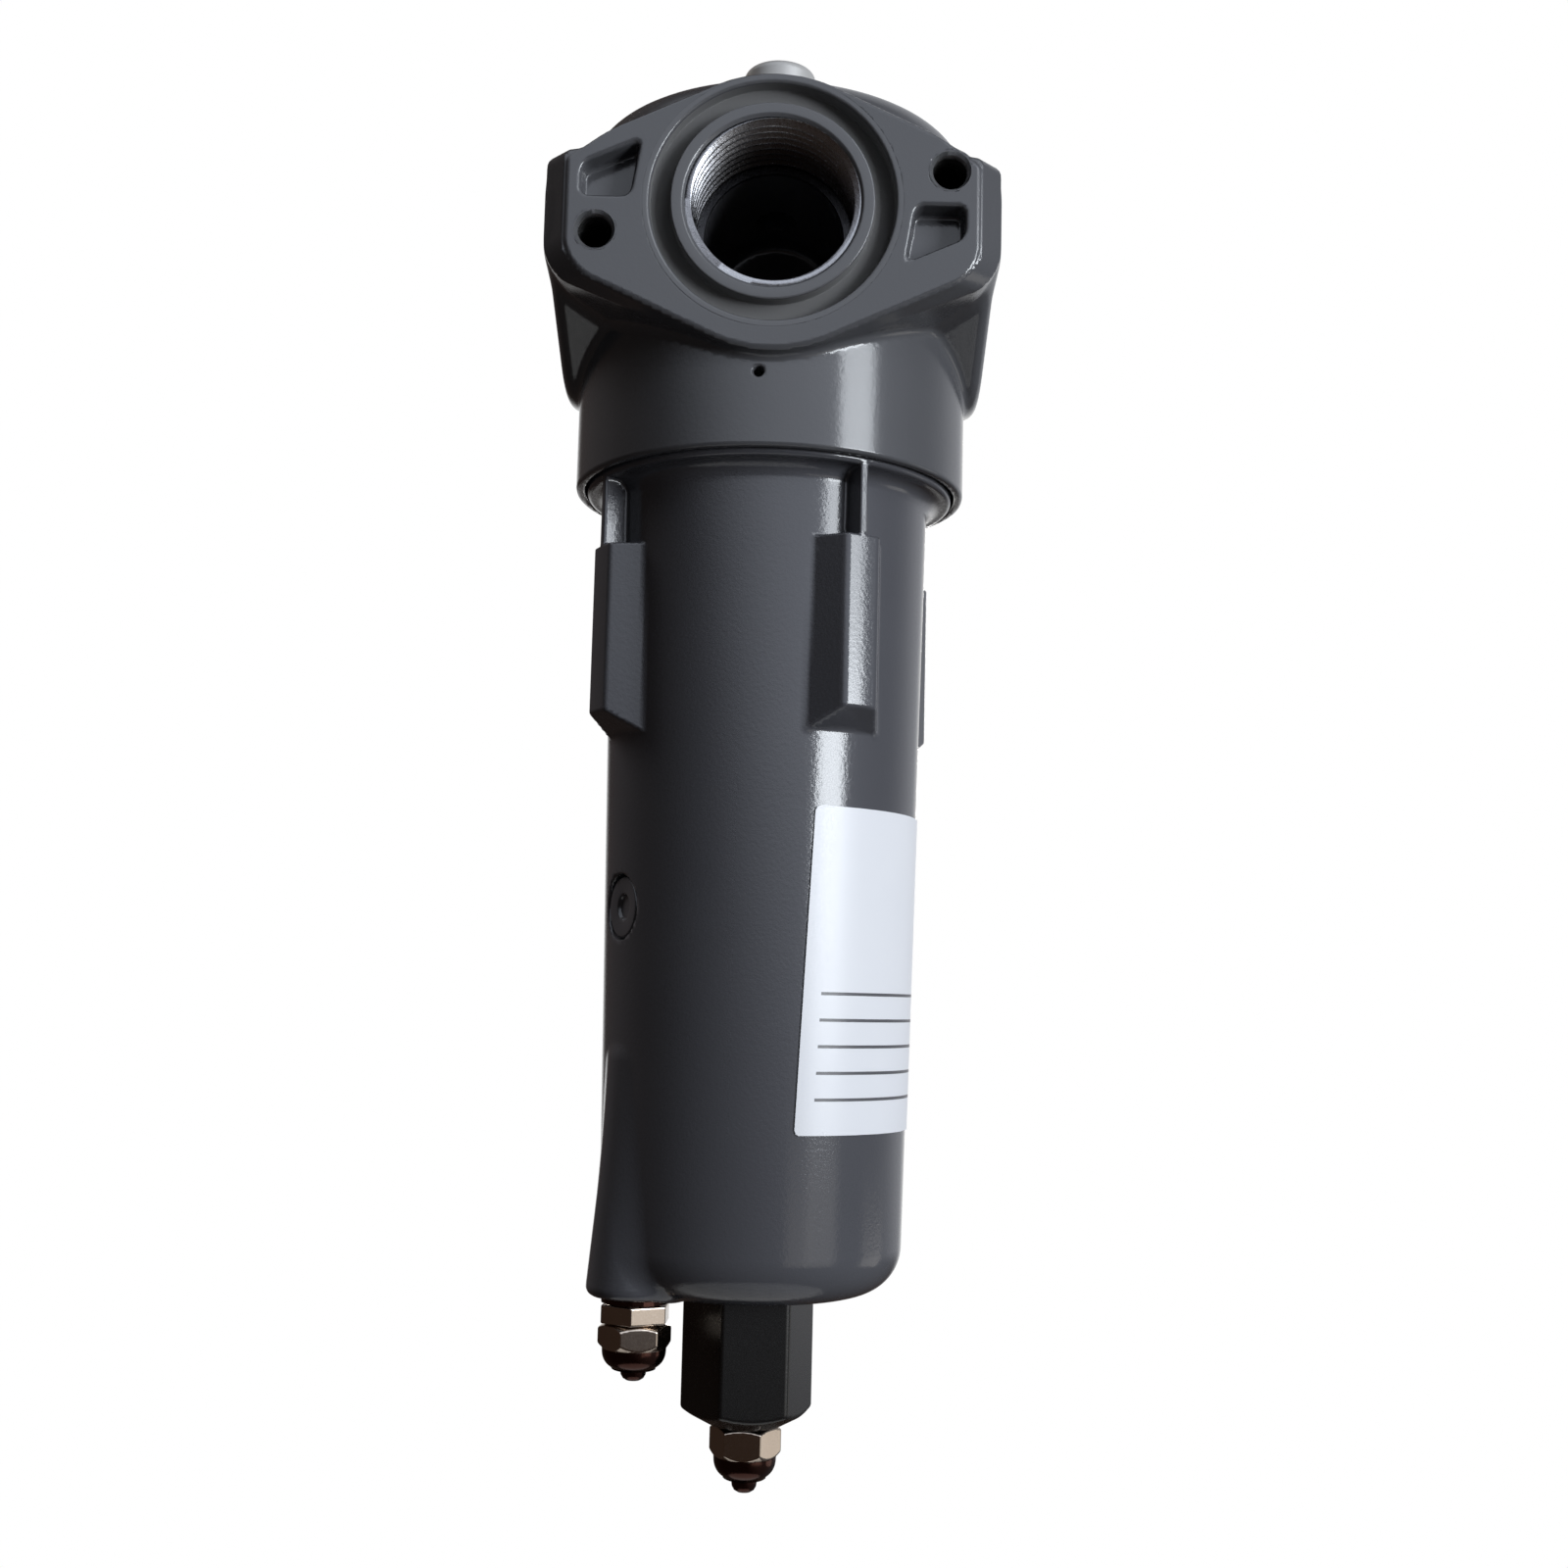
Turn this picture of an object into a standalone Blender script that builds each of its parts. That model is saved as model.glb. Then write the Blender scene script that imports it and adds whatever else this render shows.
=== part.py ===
"""Compressed air filter: cast head with two flanged ports, screw-on bowl, push-fit element, float drain.

Metres, +Z up. The origin is where the port axis (along Y) crosses the bowl axis (along Z), and the
inlet port faces -Y. The sizes below drive the model, and all else is worked out from them.
"""

import math

import bmesh
import bpy
from mathutils import Matrix, Vector

MM = 0.001

# Fits
CLEAR = 0.3 * MM
OVERLAP = 1.0 * MM
MERGE = 0.0001 * MM

# Sides of the large, middling and small round shapes, and of an O-ring's section
FINE = 40
ROUND = 20
SMALL = 10
RING_SIDES = 8
SHARP_ANGLE = 35.0

# Head casting
FLANGE_REACH = 3.0 * MM
FLANGE_MIDDLE_RADIUS = 26.8 * MM
FLANGE_END_HALF = 11.5 * MM
FLANGE_CORNER = 4.5 * MM
FLANGE_DROP = 1.8 * MM
EAR_PROUD = 3.4 * MM
EAR_SETBACK = 4.5 * MM
EAR_TAPER = 4.2 * MM
LOBE_RADIUS = 25.0 * MM
LOBE_SETBACK = 3.5 * MM
LOBE_END_HALF = 8.0 * MM
LOBE_TAPER = 3.0 * MM
COLLAR_WALL = 1.9 * MM
COLLAR_DROP = 46.0 * MM
HEAD_TOP = 28.0 * MM
SHOULDER = 8.0 * MM
RIM_CHAMFER = 0.8 * MM
TELL_TALE_DROP = 31.8 * MM
TELL_TALE_RADIUS = 0.75 * MM
TELL_TALE_SIDE = 1.9 * MM

# Ports, the same on both flanges
PORT_BORE_RADIUS = 15.15 * MM
PORT_MOUTH_RADIUS = 16.7 * MM
PORT_THREAD_DEPTH = 19.0 * MM
PASSAGE_RADIUS = 14.0 * MM
RING_RADIUS = 19.1 * MM
GROOVE_RADIUS = 23.0 * MM
GROOVE_DEPTH = 2.5 * MM
BOLT_EDGE = 5.7 * MM
BOLT_Z = 6.4 * MM
BOLT_RADIUS = 3.4 * MM
BOLT_DEPTH = 16.0 * MM
POCKET_EDGE = 3.1 * MM
POCKET_WIDTH = 10.4 * MM
POCKET_BASE = 0.4 * MM
POCKET_INNER_TOP = 11.0 * MM
POCKET_OUTER_TOP = 6.3 * MM
POCKET_DEPTH = 12.0 * MM

# Air ways inside the head
PLENUM_LIP = 4.3 * MM
PLENUM_DROP = 6.0 * MM
ELBOW_WALL = 3.5 * MM
SPIGOT_BORE_RADIUS = 12.3 * MM
SPIGOT_WALL = 4.0 * MM
SPIGOT_DROP = 30.0 * MM

# Gauge port on the top of the head
TOP_BOSS_RADIUS = 10.0 * MM
TOP_BOSS_HEIGHT = 9.5 * MM
GAUGE_THREAD_RADIUS = 4.2 * MM
GAUGE_HEAD_RADIUS = 7.5 * MM
GAUGE_HEAD_HEIGHT = 6.3 * MM
GAUGE_HEAD_ROUND = 2.6 * MM
GAUGE_STEM = 12.0 * MM
GAUGE_SEAL = 1.2 * MM
GAUGE_SOCKET = 2.5 * MM
GAUGE_SOCKET_DEPTH = 3.5 * MM

# Bowl
BOWL_RADIUS = 32.3 * MM
BOWL_DRAFT = 0.0182
BOWL_WALL = 3.6 * MM
BOWL_LENGTH = 158.0 * MM
BOWL_FLOOR = 6.0 * MM
BOWL_CORNER = 9.0 * MM
CAVITY_CORNER = 6.0 * MM
FLANGE_STEP = 2.6 * MM
FLANGE_SINK = 5.0 * MM
FLANGE_PROUD = 1.0 * MM
FLANGE_FILLET = 3.0 * MM
NECK_LENGTH = 20.5 * MM
LAND_LENGTH = 8.0 * MM
LAND_STEP = 1.0 * MM
THREAD_STEP = 1.3 * MM
SEAL_SECTION = 1.3 * MM
SEAL_BELOW_TOP = 3.4 * MM
RIB_COUNT = 4
RIB_FIRST_ANGLE = 30.0
RIB_WEB = 1.6 * MM
RIB_PAD = 6.4 * MM
RIB_PAD_DROP = 14.5 * MM
RIB_PAD_LENGTH = 32.8 * MM
RIB_PAD_SLOPE = 3.5 * MM

# Side connection, a boss on the bowl's foot with a plug above it
SIDE_ANGLE = 210.0
SIDE_INSET = 7.8 * MM
SIDE_BOSS_RADIUS = 9.0 * MM
SIDE_BOSS_HEIGHT = 40.0 * MM
SIDE_BOSS_TIP_RADIUS = 6.0 * MM
PLUG_RADIUS = 6.0 * MM
PLUG_DROP = 84.7 * MM
PLUG_PAD_WALL = 3.0 * MM
PLUG_PAD_DEPTH = 2.5 * MM
PLUG_SOCKET = 2.9 * MM
PLUG_SOCKET_DEPTH = 3.0 * MM

# Label
LABEL_TOP_DROP = 65.5 * MM
LABEL_HEIGHT = 60.0 * MM
LABEL_WIDTH = 50.0 * MM
LABEL_THICKNESS = 0.25 * MM
LABEL_START_ANGLE = -72.8
LABEL_SKEW = 4.5

# Filter element
ELEMENT_RADIUS = 21.5 * MM
ELEMENT_LENGTH = 108.0 * MM
CAP_THICKNESS = 4.0 * MM
NOZZLE_LENGTH = 15.0 * MM
NOZZLE_BORE_RADIUS = 7.6 * MM
NOZZLE_SEAL_SECTION = 1.1 * MM
NOZZLE_SEAL_DROPS = (4.0 * MM, 9.5 * MM)
CORE_RADIUS = 10.0 * MM
CORE_WALL = 0.9 * MM
SLEEVE_WALL = 1.6 * MM
PLEATS = 24
PLEAT_WALL = 1.4 * MM

# Float drain
HEX_ACROSS = 22.5 * MM
HEX_HEIGHT = 22.2 * MM
HEX_NOSE = 3.2 * MM
HEX_NOSE_RADIUS = 7.0 * MM
HEX_TURN = 8.6
STEM_RADIUS = 8.0 * MM
STEM_ABOVE_FLOOR = 11.0 * MM
DRAIN_BORE_RADIUS = 2.0 * MM
WASHER_RADIUS = 12.0 * MM
WASHER_THICKNESS = 1.5 * MM
LOCKNUT_ACROSS = 21.0 * MM
LOCKNUT_HEIGHT = 5.0 * MM
SEAT_RADIUS = 3.7 * MM
SEAT_THICKNESS = 3.4 * MM
SEAT_BORE_RADIUS = 1.3 * MM
GUIDE_FOOT_RADIUS = 7.8 * MM
GUIDE_FOOT = 2.0 * MM
GUIDE_RADIUS = 5.0 * MM
GUIDE_BORE_RADIUS = 3.2 * MM
GUIDE_LENGTH = 27.0 * MM
GUIDE_INLET_RADIUS = 0.7 * MM
GUIDE_CAP_RADIUS = 8.0 * MM
GUIDE_CAP = 2.7 * MM
GUIDE_CAP_PEG = 4.0 * MM
FLOAT_RADIUS = 16.0 * MM
FLOAT_HEIGHT = 18.0 * MM
FLOAT_TRAVEL = 6.0 * MM
FLOAT_ROUND = 2.5 * MM
PIN_RADIUS = 0.8 * MM
NEEDLE_RADIUS = 1.9 * MM
NEEDLE_TIP = 2.4 * MM

# Tube fittings: a stud, a union nut and a blanking stub held by the nut
NUT_ACROSS = 12.2 * MM
NUT_DOME_RADIUS = 4.3 * MM
NUT_BORE_RADIUS = 3.9 * MM
STUD_RADIUS = 3.6 * MM
STUD_BORE_RADIUS = 1.5 * MM
STUB_RADIUS = 2.5 * MM
OLIVE_HEIGHT = 1.9 * MM
NIPPLE_RADIUS = 4.2 * MM
NIPPLE_LENGTH = 10.0 * MM
OUTLET_NUT_HEIGHT = 5.6 * MM
OUTLET_NUT_DOME = 4.4 * MM
OUTLET_STUB = 2.6 * MM
OUTLET_TURN = 4.0
SIDE_STUD_RADIUS = 4.6 * MM
SIDE_STUD_LENGTH = 7.5 * MM
SIDE_WASHER_RADIUS = 6.6 * MM
SIDE_WASHER = 0.8 * MM
SIDE_BODY_HEIGHT = 2.4 * MM
SIDE_NECK = 1.5 * MM
SIDE_NUT_HEIGHT = 4.2 * MM
SIDE_NUT_DOME = 4.0 * MM
SIDE_STUB = 2.2 * MM
SIDE_TURN = 12.0

# Levels and radii that several pieces share
LAND_RADIUS = BOWL_RADIUS + LAND_STEP
THREAD_RADIUS = LAND_RADIUS + THREAD_STEP
FLANGE_RADIUS = THREAD_RADIUS + FLANGE_STEP
SCREW_CLEAR = CLEAR + CLEAR / 3
COLLAR_RADIUS = FLANGE_RADIUS + SCREW_CLEAR + COLLAR_WALL
PLENUM_RADIUS = LAND_RADIUS - PLENUM_LIP
FACE = COLLAR_RADIUS + FLANGE_REACH
EAR_HALF_WIDTH = COLLAR_RADIUS + EAR_PROUD
FLANGE_HALF_WIDTH = EAR_HALF_WIDTH - EAR_TAPER
LOBE_HALF_LENGTH = FACE - LOBE_SETBACK
SIDE_OFFSET = BOWL_RADIUS - SIDE_INSET
BOLT_X = FLANGE_HALF_WIDTH - BOLT_EDGE
POCKET_OUTER = FLANGE_HALF_WIDTH - POCKET_EDGE
POCKET_INNER = POCKET_OUTER - POCKET_WIDTH
COLLAR_Z = -COLLAR_DROP
NECK_TOP = COLLAR_Z + NECK_LENGTH
THREAD_TOP = NECK_TOP - LAND_LENGTH
FLANGE_TOP = COLLAR_Z + FLANGE_SINK
FLANGE_BOTTOM = COLLAR_Z - FLANGE_PROUD
BOWL_BOTTOM = COLLAR_Z - BOWL_LENGTH
FLOOR_TOP = BOWL_BOTTOM + BOWL_FLOOR
SEAL_Z = NECK_TOP - SEAL_BELOW_TOP
SEAL_RADIUS = LAND_RADIUS + CLEAR / 3 - SEAL_SECTION
SPIGOT_END = -SPIGOT_DROP
CAP_TOP = SPIGOT_END - CLEAR
STEM_TOP = FLOOR_TOP + STEM_ABOVE_FLOOR
GUIDE_BASE = STEM_TOP + CLEAR
FLOAT_BASE = GUIDE_BASE + GUIDE_FOOT + CLEAR
PIN_Z = FLOAT_BASE + FLOAT_HEIGHT / 2
GUIDE_TOP = GUIDE_BASE + GUIDE_LENGTH
HEX_TOP = BOWL_BOTTOM - CLEAR
HEX_END = HEX_TOP - HEX_HEIGHT - HEX_NOSE
BOSS_TOP = HEAD_TOP + TOP_BOSS_HEIGHT

for old in list(bpy.data.objects):
    bpy.data.objects.remove(old, do_unlink=True)


def bowl_radius(level):
    """Outer radius of the drafted bowl wall at a level."""
    return BOWL_RADIUS - BOWL_DRAFT * (COLLAR_Z - level)


def finish(name, colour, roughness, metallic=0.0):
    """A Principled material with one colour, roughness and metallic value."""
    material = bpy.data.materials.new(name)
    material.use_nodes = True
    shader = material.node_tree.nodes["Principled BSDF"]
    shader.inputs["Base Color"].default_value = (*colour, 1.0)
    shader.inputs["Roughness"].default_value = roughness
    shader.inputs["Metallic"].default_value = metallic
    return material


POWDER_COAT = finish("slate_powder_coat", (0.095, 0.096, 0.102), 0.45)
PLATING = finish("nickel_plating", (0.72, 0.68, 0.60), 0.22, 1.0)
BRASS = finish("brass", (0.78, 0.57, 0.25), 0.3, 1.0)
ALUMINIUM = finish("bare_aluminium", (0.55, 0.56, 0.57), 0.4, 1.0)
BLACK_PLASTIC = finish("black_plastic", (0.018, 0.018, 0.019), 0.5)
RUBBER = finish("black_rubber", (0.012, 0.012, 0.012), 0.7)
PAPER = finish("label_film", (0.78, 0.79, 0.83), 0.5)
MEDIA = finish("filter_media", (0.82, 0.80, 0.72), 0.9)
FOAM = finish("drain_foam", (0.10, 0.22, 0.42), 0.95)
STAINLESS = finish("stainless", (0.62, 0.62, 0.60), 0.35, 1.0)
WHITE_PLASTIC = finish("white_plastic", (0.75, 0.75, 0.73), 0.5)


def place(name, mesh_builder, material=None, parent=None):
    """A named object around the mesh in a bmesh; with no material it is a hidden cutter or tool body."""
    bmesh.ops.remove_doubles(mesh_builder, verts=mesh_builder.verts, dist=MERGE)
    bmesh.ops.recalc_face_normals(mesh_builder, faces=mesh_builder.faces)
    mesh = bpy.data.meshes.new(name)
    mesh_builder.to_mesh(mesh)
    mesh_builder.free()
    thing = bpy.data.objects.new(name, mesh)
    bpy.context.scene.collection.objects.link(thing)
    thing.parent = parent
    if material is None:
        thing.hide_render = True
        thing.display_type = "WIRE"
    else:
        mesh.materials.append(material)
        mesh.shade_smooth()
        mesh.set_sharp_from_angle(angle=math.radians(SHARP_ANGLE))
    return thing


def combine(thing, operation, other):
    """Adds an exact Boolean with a hidden body to an object."""
    step = thing.modifiers.new(operation.lower(), "BOOLEAN")
    step.operation = operation
    step.solver = "EXACT"
    step.object = other


def lathe(profile, segments, turn=None):
    """A bmesh of the (radius, height) profile spun round Z; a profile off the axis is a closed ring."""
    shape = bmesh.new()
    points = [shape.verts.new((radius, 0, height)) for radius, height in profile]
    edges = [shape.edges.new(pair) for pair in zip(points, points[1:])]
    if min(profile[0][0], profile[-1][0]) > 0:
        edges.append(shape.edges.new((points[-1], points[0])))
    bmesh.ops.spin(shape, geom=points + edges, cent=(0, 0, 0), axis=(0, 0, 1), angle=2 * math.pi,
                   steps=segments, use_merge=True)
    bmesh.ops.remove_doubles(shape, verts=shape.verts, dist=MERGE)
    bmesh.ops.dissolve_degenerate(shape, edges=shape.edges, dist=MERGE)
    if turn:
        bmesh.ops.transform(shape, matrix=turn, verts=shape.verts)
    return shape


def rod(radius, low, high, segments, turn=None):
    """A solid round bar between two heights."""
    return lathe([(0, high), (radius, high), (radius, low), (0, low)], segments, turn)


def tube(inner, outer, low, high, segments):
    """A plain tube between two heights."""
    return lathe([(inner, high), (outer, high), (outer, low), (inner, low)], segments)


def ring(centre, section, level, segments):
    """A round-section ring, such as an O-ring."""
    steps = [2 * math.pi * k / RING_SIDES for k in range(RING_SIDES)]
    return lathe([(centre + section * math.cos(a), level - section * math.sin(a)) for a in steps], segments)


def arc(centre, radius, start, end, steps):
    """Points on an arc about a (radius, height) centre, angles in degrees."""
    angles = [math.radians(start + (end - start) * k / steps) for k in range(steps + 1)]
    return [(centre[0] + radius * math.cos(a), centre[1] + radius * math.sin(a)) for a in angles]


def loft(sections):
    """A closed body through outlines of equal length, with its first and last outline filled."""
    shape = bmesh.new()
    loops = [[shape.verts.new(point) for point in section] for section in sections]
    for lower, upper in zip(loops, loops[1:]):
        for k, corner in enumerate(lower):
            after = (k + 1) % len(lower)
            shape.faces.new((corner, lower[after], upper[after], upper[k]))
    shape.faces.new(loops[0][::-1])
    shape.faces.new(loops[-1])
    return shape


def polygon(across, sides, turn):
    """Corners of a regular polygon of a given distance across flats, turned by an angle in degrees."""
    reach = across / 2 / math.cos(math.pi / sides)
    angles = [math.radians(turn) + 2 * math.pi * k / sides for k in range(sides)]
    return [(reach * math.cos(a), reach * math.sin(a)) for a in angles]


def bar(outline, low, high):
    """A prism of an (x, y) outline between two heights."""
    return loft([[(x, y, level) for x, y in outline] for level in (low, high)])


def lozenge(middle, half_width, end_half, corner):
    """Flange outline: a round middle, tangent edges out to two upright ends, and rounded end corners.

    Points run anticlockwise in the plane of (across, up), always the same number for the same call.
    """
    reach = math.hypot(half_width, end_half)
    slope = math.asin(middle / reach) - math.atan2(end_half, half_width)
    quarter = arc((0, 0), middle, 90, 90 - math.degrees(slope), 5)
    inset_x = half_width - corner
    inset_y = end_half + corner * math.tan(slope) - corner / math.cos(slope)
    quarter += arc((inset_x, inset_y), corner, 90 - math.degrees(slope), 0, 4)
    right = quarter + [(x, -y) for x, y in quarter[::-1]]
    left = [(-x, y) for x, y in right[::-1]]
    return (right + left[1:-1])[::-1]


ACROSS_Y = Matrix.Rotation(math.radians(90), 4, "X")
BACK = Matrix.Rotation(math.pi, 4, "Z")


def make_head():
    """The cast head: collar, flange prism and side lobes, with its ports, elbow, plenum and bowl socket."""
    collar = [(0, HEAD_TOP)]
    collar += arc((COLLAR_RADIUS - SHOULDER, HEAD_TOP - SHOULDER), SHOULDER, 90, 0, 5)
    collar += [(COLLAR_RADIUS, COLLAR_Z + RIM_CHAMFER), (COLLAR_RADIUS - RIM_CHAMFER, COLLAR_Z),
               (0, COLLAR_Z)]
    head = place("head", lathe(collar, FINE), POWDER_COAT)

    face = lozenge(FLANGE_MIDDLE_RADIUS, FLANGE_HALF_WIDTH, FLANGE_END_HALF, FLANGE_CORNER)
    ears = lozenge(FLANGE_MIDDLE_RADIUS, EAR_HALF_WIDTH, FLANGE_END_HALF, FLANGE_CORNER)
    levels = ((face, -FACE), (ears, EAR_SETBACK - FACE), (ears, FACE - EAR_SETBACK), (face, FACE))
    flanges = loft([[(x, level, z - FLANGE_DROP) for x, z in outline] for outline, level in levels])
    combine(head, "UNION", place("flange_body", flanges))

    lobe = lozenge(LOBE_RADIUS, LOBE_HALF_LENGTH, LOBE_END_HALF, FLANGE_CORNER)
    shrink = 1 - LOBE_TAPER / LOBE_RADIUS
    lobe_end = [(y * shrink, z * shrink) for y, z in lobe]
    levels = ((lobe_end, -EAR_HALF_WIDTH), (lobe, LOBE_TAPER - EAR_HALF_WIDTH),
              (lobe, EAR_HALF_WIDTH - LOBE_TAPER), (lobe_end, EAR_HALF_WIDTH))
    lobes = loft([[(level, y, z - FLANGE_DROP) for y, z in outline] for outline, level in levels])
    combine(head, "UNION", place("lobe_body", lobes))
    combine(head, "UNION", place("top_boss", rod(TOP_BOSS_RADIUS, HEAD_TOP - OVERLAP, BOSS_TOP, ROUND)))

    socket = [(0, -PLENUM_DROP), (PLENUM_RADIUS, -PLENUM_DROP), (PLENUM_RADIUS, NECK_TOP + CLEAR)]
    land = LAND_RADIUS + SCREW_CLEAR
    thread = THREAD_RADIUS + SCREW_CLEAR
    recess = FLANGE_RADIUS + SCREW_CLEAR
    socket += [(land, NECK_TOP + CLEAR), (land, THREAD_TOP + CLEAR), (thread, THREAD_TOP + CLEAR),
               (thread, FLANGE_TOP + CLEAR), (recess, FLANGE_TOP + CLEAR),
               (recess, COLLAR_Z - OVERLAP), (0, COLLAR_Z - OVERLAP)]
    cavity = place("plenum_and_socket", lathe(socket, FINE))
    elbow_radius = PASSAGE_RADIUS + ELBOW_WALL
    elbow_end = SPIGOT_BORE_RADIUS + SPIGOT_WALL
    elbow = rod(elbow_radius, -elbow_end, FACE, ROUND, ACROSS_Y)
    combine(cavity, "DIFFERENCE", place("elbow_body", elbow))
    combine(cavity, "DIFFERENCE", place("spigot_body", rod(elbow_end, SPIGOT_END, 0, ROUND)))
    combine(head, "DIFFERENCE", cavity)

    inlet = rod(PASSAGE_RADIUS, -SPIGOT_BORE_RADIUS, FACE, ROUND, ACROSS_Y)
    combine(head, "DIFFERENCE", place("inlet_way", inlet))
    spigot = rod(SPIGOT_BORE_RADIUS, SPIGOT_END - OVERLAP, 0, ROUND)
    combine(head, "DIFFERENCE", place("spigot_bore", spigot))
    outlet = rod(PASSAGE_RADIUS, -FACE, -elbow_end - OVERLAP, ROUND, ACROSS_Y)
    combine(head, "DIFFERENCE", place("outlet_way", outlet))

    mouth_depth = PORT_MOUTH_RADIUS - PORT_BORE_RADIUS
    mouth = [(0, FACE + OVERLAP), (PORT_MOUTH_RADIUS + OVERLAP, FACE + OVERLAP),
             (PORT_BORE_RADIUS, FACE - mouth_depth), (PORT_BORE_RADIUS, FACE - PORT_THREAD_DEPTH),
             (0, FACE - PORT_THREAD_DEPTH)]
    groove = [(RING_RADIUS, FACE + OVERLAP), (GROOVE_RADIUS, FACE + OVERLAP),
              (GROOVE_RADIUS, FACE - GROOVE_DEPTH), (RING_RADIUS, FACE - GROOVE_DEPTH)]
    pocket = [(-POCKET_OUTER, POCKET_BASE), (-POCKET_INNER, POCKET_BASE),
              (-POCKET_INNER, POCKET_INNER_TOP), (-POCKET_OUTER, POCKET_OUTER_TOP)]
    for number, way in enumerate((Matrix.Identity(4), BACK)):
        turn = way @ ACROSS_Y
        combine(head, "DIFFERENCE", place(f"port_thread_{number}", lathe(mouth, ROUND, turn)))
        combine(head, "DIFFERENCE", place(f"port_groove_{number}", lathe(groove, ROUND, turn)))
        for side in (1, -1):
            where = way @ Matrix.Translation((-side * BOLT_X, 0, -side * BOLT_Z)) @ ACROSS_Y
            hole = rod(BOLT_RADIUS, FACE - BOLT_DEPTH, FACE + OVERLAP, SMALL, where)
            combine(head, "DIFFERENCE", place(f"bolt_hole_{number}_{side}", hole))
            corners = [(side * x, side * z) for x, z in pocket]
            depths = (-FACE - OVERLAP, POCKET_DEPTH - FACE)
            recess_body = loft([[way @ Vector((x, y, z)) for x, z in corners] for y in depths])
            combine(head, "DIFFERENCE", place(f"pocket_{number}_{side}", recess_body))
    gauge = rod(GAUGE_THREAD_RADIUS, PASSAGE_RADIUS - OVERLAP, BOSS_TOP + OVERLAP, SMALL)
    combine(head, "DIFFERENCE", place("gauge_hole", gauge))
    tell_tale = rod(TELL_TALE_RADIUS, LAND_RADIUS - OVERLAP, COLLAR_RADIUS + OVERLAP, SMALL,
                    Matrix.Translation((-TELL_TALE_SIDE, 0, -TELL_TALE_DROP)) @ ACROSS_Y)
    combine(head, "DIFFERENCE", place("tell_tale_hole", tell_tale))


def make_gauge_plug():
    """Round-headed plug with a hexagon socket, on a soft washer, closing the gauge port."""
    seal_low = BOSS_TOP + CLEAR
    seal_high = seal_low + GAUGE_SEAL
    head_low = seal_high + CLEAR
    head_high = head_low + GAUGE_HEAD_HEIGHT
    stem = GAUGE_THREAD_RADIUS - CLEAR
    profile = [(0, head_high)]
    profile += arc((GAUGE_HEAD_RADIUS - GAUGE_HEAD_ROUND, head_high - GAUGE_HEAD_ROUND),
                   GAUGE_HEAD_ROUND, 90, 0, 4)
    profile += [(GAUGE_HEAD_RADIUS, head_low), (stem, head_low), (stem, head_low - GAUGE_STEM),
                (0, head_low - GAUGE_STEM)]
    plug = place("gauge_plug", lathe(profile, ROUND), ALUMINIUM)
    socket = bar(polygon(2 * GAUGE_SOCKET, 6, 0), head_high - GAUGE_SOCKET_DEPTH, head_high + OVERLAP)
    combine(plug, "DIFFERENCE", place("gauge_plug_socket", socket))
    seal = tube(GAUGE_THREAD_RADIUS, GAUGE_HEAD_RADIUS - CLEAR, seal_low, seal_high, ROUND)
    place("gauge_plug_seal", seal, RUBBER)


def make_element():
    """The push-fit element: end caps, perforated cores, pleated media and drainage sleeve."""
    cap_bottom = CAP_TOP - CAP_THICKNESS
    body_bottom = CAP_TOP - ELEMENT_LENGTH
    media_high = cap_bottom - CLEAR
    media_low = body_bottom + CAP_THICKNESS + CLEAR
    nozzle = SPIGOT_BORE_RADIUS - 2 * CLEAR
    nozzle_top = CAP_TOP + NOZZLE_LENGTH
    groove_floor = nozzle + CLEAR - 2 * NOZZLE_SEAL_SECTION - CLEAR
    half = NOZZLE_SEAL_SECTION + CLEAR
    cap = [(NOZZLE_BORE_RADIUS, nozzle_top), (nozzle, nozzle_top)]
    for drop in NOZZLE_SEAL_DROPS:
        level = nozzle_top - drop
        cap += [(nozzle, level + half), (groove_floor, level + half), (groove_floor, level - half),
                (nozzle, level - half)]
    cap += [(nozzle, CAP_TOP), (ELEMENT_RADIUS, CAP_TOP), (ELEMENT_RADIUS, cap_bottom),
            (NOZZLE_BORE_RADIUS, cap_bottom)]
    place("element_top_cap", lathe(cap, ROUND), BLACK_PLASTIC)
    for name, drop in zip(("element_seal_upper", "element_seal_lower"), NOZZLE_SEAL_DROPS):
        seal = ring(nozzle + CLEAR - NOZZLE_SEAL_SECTION, NOZZLE_SEAL_SECTION, nozzle_top - drop, ROUND)
        place(name, seal, RUBBER)
    core_inner = CORE_RADIUS - CORE_WALL
    place("element_inner_core", tube(core_inner, CORE_RADIUS, media_low, media_high, ROUND), STAINLESS)
    sleeve_inner = ELEMENT_RADIUS - SLEEVE_WALL
    place("element_drain_sleeve", tube(sleeve_inner, ELEMENT_RADIUS, media_low, media_high, ROUND), FOAM)
    outer_core = sleeve_inner - CLEAR
    outer_core_inner = outer_core - CORE_WALL
    place("element_outer_core", tube(outer_core_inner, outer_core, media_low, media_high, ROUND), STAINLESS)
    media = pleated_ring(CORE_RADIUS + CLEAR, outer_core_inner - CLEAR, media_low, media_high)
    place("element_media", media, MEDIA)
    bottom = rod(ELEMENT_RADIUS, body_bottom, media_low - CLEAR, ROUND)
    place("element_bottom_cap", bottom, BLACK_PLASTIC)


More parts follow.
